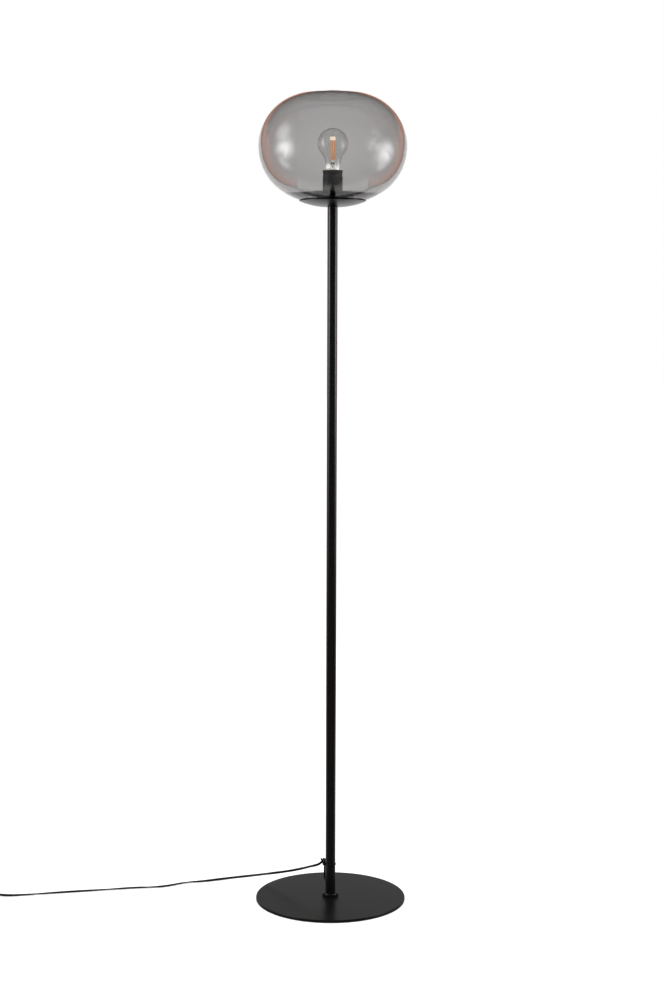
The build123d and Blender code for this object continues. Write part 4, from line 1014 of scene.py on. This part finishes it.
# ---- glass
def globe_arcs(inset, foot_r=None, foot_z=None, thicker=0.0):
    """The globe's outline from its foot, at a radius or a height, up to the axis. It is inset by a wall."""
    foot, crown, globe_r = span_of("glass_globe")
    equator = foot + 97.3 * MM
    lower_r1, lower_r2, lower_turn = 97.4 * MM, 159.1 * MM, 58.1
    upper_r1, upper_r2 = 96.4 * MM, 113.7 * MM
    upper_turn_1, upper_turn_2 = 63.0, 73.5
    low_mid = (globe_r - lower_r1, equator)
    low_far = (
        low_mid[0] + (lower_r1 - lower_r2) * math.cos(math.radians(lower_turn)),
        low_mid[1] - (lower_r1 - lower_r2) * math.sin(math.radians(lower_turn)),
    )
    top_mid = (globe_r - upper_r1, equator)
    top_far = (
        top_mid[0] + (upper_r1 - upper_r2) * math.cos(math.radians(upper_turn_1)),
        top_mid[1] + (upper_r1 - upper_r2) * math.sin(math.radians(upper_turn_1)),
    )
    if foot_z is None:
        start = -math.degrees(math.acos((foot_r - low_far[0]) / (lower_r2 - inset)))
    else:
        start = math.degrees(math.asin((foot_z - low_far[1]) / (lower_r2 - inset)))
    points = arc(low_far, lower_r2 - inset, start, -lower_turn, 16)
    # Blown glass is thicker at its foot: the inside rises there.
    points = [(r, z + thicker * (1 - k / 16) ** 2) for k, (r, z) in enumerate(points)]
    points += arc(low_mid, lower_r1 - inset, -lower_turn, 0, 40)[1:]
    points += arc(top_mid, upper_r1 - inset, 0, upper_turn_1, 44)[1:]
    points += arc(top_far, upper_r2 - inset, upper_turn_1, upper_turn_2, 10)[1:]
    # The low crown: a long slope, then a small soft step up to a flat middle.
    top = crown - inset
    shoulder = points[-1]
    step_r, step_drop = 28.5 * MM, 1.56 * MM
    step = (step_r, top - step_drop)
    points += [
        (shoulder[0] + (step[0] - shoulder[0]) * k / 5, shoulder[1] + (step[1] - shoulder[1]) * k / 5)
        for k in range(1, 6)
    ]
    fall = {26.5: 1.22, 24.5: 0.78, 22.5: 0.34, 20.5: 0.08, 18.0: 0.0, 9.0: 0.0, 0.0: 0.0}
    points += [(radius * MM, top - drop * MM) for radius, drop in fall.items()]
    return points


class LAMP_OT_globe(bpy.types.Operator):
    """Turns the smoked glass globe, with an inner and an outer wall and a polished rim"""

    bl_idname = "lamp.globe"
    bl_label = "Glass globe"

    def execute(self, context):
        sizes = context.scene.lamp_sizes
        seat = foot_of("glass_globe")
        soft = 0.4 * MM
        outside = globe_arcs(0.0, foot_z=seat + soft)
        inside = globe_arcs(sizes.glass_wall, foot_r=sizes.glass_opening + soft, thicker=sizes.glass_foot)
        opening = sizes.glass_opening
        rim = [(opening, inside[0][1] - soft * 0.3)]
        rim += arc((opening + soft, seat + soft), soft, 180, 270, 4)
        rim += [(outside[0][0] - 2.2 * soft, seat), (outside[0][0] - 1.0 * soft, seat + 0.15 * soft)]
        globe = turn("globe_glass", inside[::-1] + rim + outside, sides=256, sharp=60.0)
        place(globe, "globe", "smoked_glass", "glass_globe")
        return {"FINISHED"}


def bulb_outline():
    """The bulb's outer outline: its foot in the cap, the neck, a hollow curve and the ball."""
    low, top, ball_r = span_of("bulb_glass")
    ball_z = top - ball_r
    foot_r, neck_r, hollow_r = 11.7 * MM, 13.8 * MM, 34.0 * MM
    rim = low + 5.45 * MM
    hollow_x = neck_r + hollow_r
    hollow_z = ball_z - math.sqrt((ball_r + hollow_r) ** 2 - hollow_x**2)
    touch = math.degrees(math.atan2(hollow_z - ball_z, hollow_x))
    points = [(foot_r, low), (foot_r, low + 1.5 * MM), (foot_r, rim)]
    points += [(foot_r + 0.7 * MM, rim + 0.7 * MM), (neck_r - 0.3 * MM, rim + 2.4 * MM)]
    points += [(neck_r, rim + 3.4 * MM), (neck_r, (rim + 3.4 * MM + hollow_z) / 2)]
    points += arc((hollow_x, hollow_z), hollow_r, 180, 180 + touch, 12)
    points += arc((0, ball_z), ball_r, touch, 89.99, 44)[1:]
    return points


class LAMP_OT_bulb(bpy.types.Operator):
    """Blows the bulb and its stem, and sets the filaments and their crown on it"""

    bl_idname = "lamp.bulb"
    bl_label = "Bulb"

    def execute(self, context):
        wall = context.scene.lamp_sizes.bulb_wall
        glass = turn("bulb_envelope", bulb_outline(), sides=128, sharp=60.0)
        shell = glass.modifiers.new("wall", "SOLIDIFY")
        shell.thickness = wall
        shell.offset = -1
        shell.use_even_offset = True
        bpy.context.view_layer.objects.active = glass
        bpy.ops.object.modifier_apply(modifier=shell.name)
        place(glass, "bulb", "clear_glass", "bulb_glass")
        wear(glass, bulb_glass)

        # The stem's outer and inner radius by height above its foot, in millimetres.
        low, high = foot_of("bulb_stem"), top_of("bulb_stem")
        neck_z = high - 10 * MM
        flare = {0.0: 10.7, 0.5: 9.2, 1.4: 7.6, 3.0: 6.3, 5.5: 5.3, 9.5: 4.7, 14.0: 4.2, 18.5: 3.8}
        hollow = {20.0: 0.0, 19.8: 1.4, 19.0: 2.3, 14.0: 2.9, 9.5: 3.5, 5.5: 4.1, 3.0: 5.1}
        hollow |= {1.4: 6.4, 0.4: 8.2, 0.0: 8.9}
        outline = [(r * MM, low + z * MM) for z, r in hollow.items()]
        outline += [(r * MM, low + z * MM) for z, r in flare.items()]
        outline += [(3.5 * MM, neck_z), (2.2 * MM, neck_z + 0.9 * MM), (1.5 * MM, neck_z + 1.8 * MM)]
        outline += [(1.5 * MM, high - 0.4 * MM), (1.1 * MM, high), (0, high)]
        stem = turn("bulb_flare", outline, sides=64, sharp=60.0)
        place(stem, "bulb", "clear_glass", "bulb_stem")

        low, high = foot_of("filaments"), top_of("filaments")
        spread, radius, tab = 3.2 * MM, 1.05 * MM, 1.6 * MM
        outline = [(0, low), (radius * 0.55, low), (radius * 0.55, low + tab), (radius * 0.85, low + tab)]
        outline += [(radius, low + tab + 0.3 * MM), (radius, high - tab - 0.3 * MM)]
        outline += [(radius * 0.85, high - tab), (radius * 0.55, high - tab), (radius * 0.55, high), (0, high)]
        rods = []
        for quarter in range(4):
            rod = turn("filament_rod", outline, sides=24)
            turn_by = math.radians(90 * quarter)
            rod.location = (spread * math.cos(turn_by), spread * math.sin(turn_by), 0)
            fix_place()
            rods.append(rod)
        place(join_pieces("filament_rods", rods), "bulb", "filament_coating", "filaments")

        low, high, edge = span_of("filament_crown")
        soft = 1.6 * MM
        outline = [(0, low), (edge - 0.3 * MM, low), (edge, low + 0.3 * MM)]
        outline += arc((edge - soft, high - soft), soft, 0, 90, 6)
        outline += [(1.0 * MM, high), (0, high)]
        crown = turn("filament_cap", outline, sides=48)
        place(crown, "bulb", "filament_coating", "filament_crown")
        wear(crown, cream_ceramic)
        return {"FINISHED"}


# ---- finishes, panel and run
class LAMP_OT_finishes(bpy.types.Operator):
    """Gives each of the solids its finish"""

    bl_idname = "lamp.finishes"
    bl_label = "Finishes"

    def execute(self, context):
        for row in frame["record"]["subparts"]:
            dress(nodes[row["node"]], row["material_slot"])
        return {"FINISHED"}


class LAMP_PT_panel(bpy.types.Panel):
    """Lists the lamp's sizes, colours and pieces"""

    bl_idname = "LAMP_PT_panel"
    bl_label = "Globe floor lamp"
    bl_space_type = "VIEW_3D"
    bl_region_type = "UI"
    bl_category = "Lamp"

    def draw(self, context):
        column = self.layout.column()
        for group in (context.scene.lamp_sizes, context.scene.lamp_colours):
            for key in group.bl_rna.properties.keys():
                if key not in ("rna_type", "name"):
                    column.prop(group, key)
        for step in STEPS:
            column.operator(step.bl_idname)


STEPS = (
    LAMP_OT_stage,
    LAMP_OT_finishes,
    LAMP_OT_cords,
    LAMP_OT_base,
    LAMP_OT_pole,
    LAMP_OT_carrier,
    LAMP_OT_holder,
    LAMP_OT_globe,
    LAMP_OT_bulb,
)
CLASSES = (LampSizes, LampColours, *STEPS, LAMP_PT_panel)


def register():
    """Registers the classes and their settings."""
    for each in CLASSES:
        bpy.utils.register_class(each)
    bpy.types.Scene.lamp_sizes = PointerProperty(type=LampSizes)
    bpy.types.Scene.lamp_colours = PointerProperty(type=LampColours)


def unregister():
    """Takes them away again."""
    del bpy.types.Scene.lamp_colours
    del bpy.types.Scene.lamp_sizes
    for each in reversed(CLASSES):
        bpy.utils.unregister_class(each)


def main():
    """Builds the whole lamp."""
    register()
    bpy.ops.lamp.stage()
    bpy.ops.lamp.finishes()
    bpy.ops.lamp.cords()
    bpy.ops.lamp.base()
    bpy.ops.lamp.pole()
    bpy.ops.lamp.carrier()
    bpy.ops.lamp.holder()
    bpy.ops.lamp.globe()
    bpy.ops.lamp.bulb()


if __name__ == "__main__":
    main()
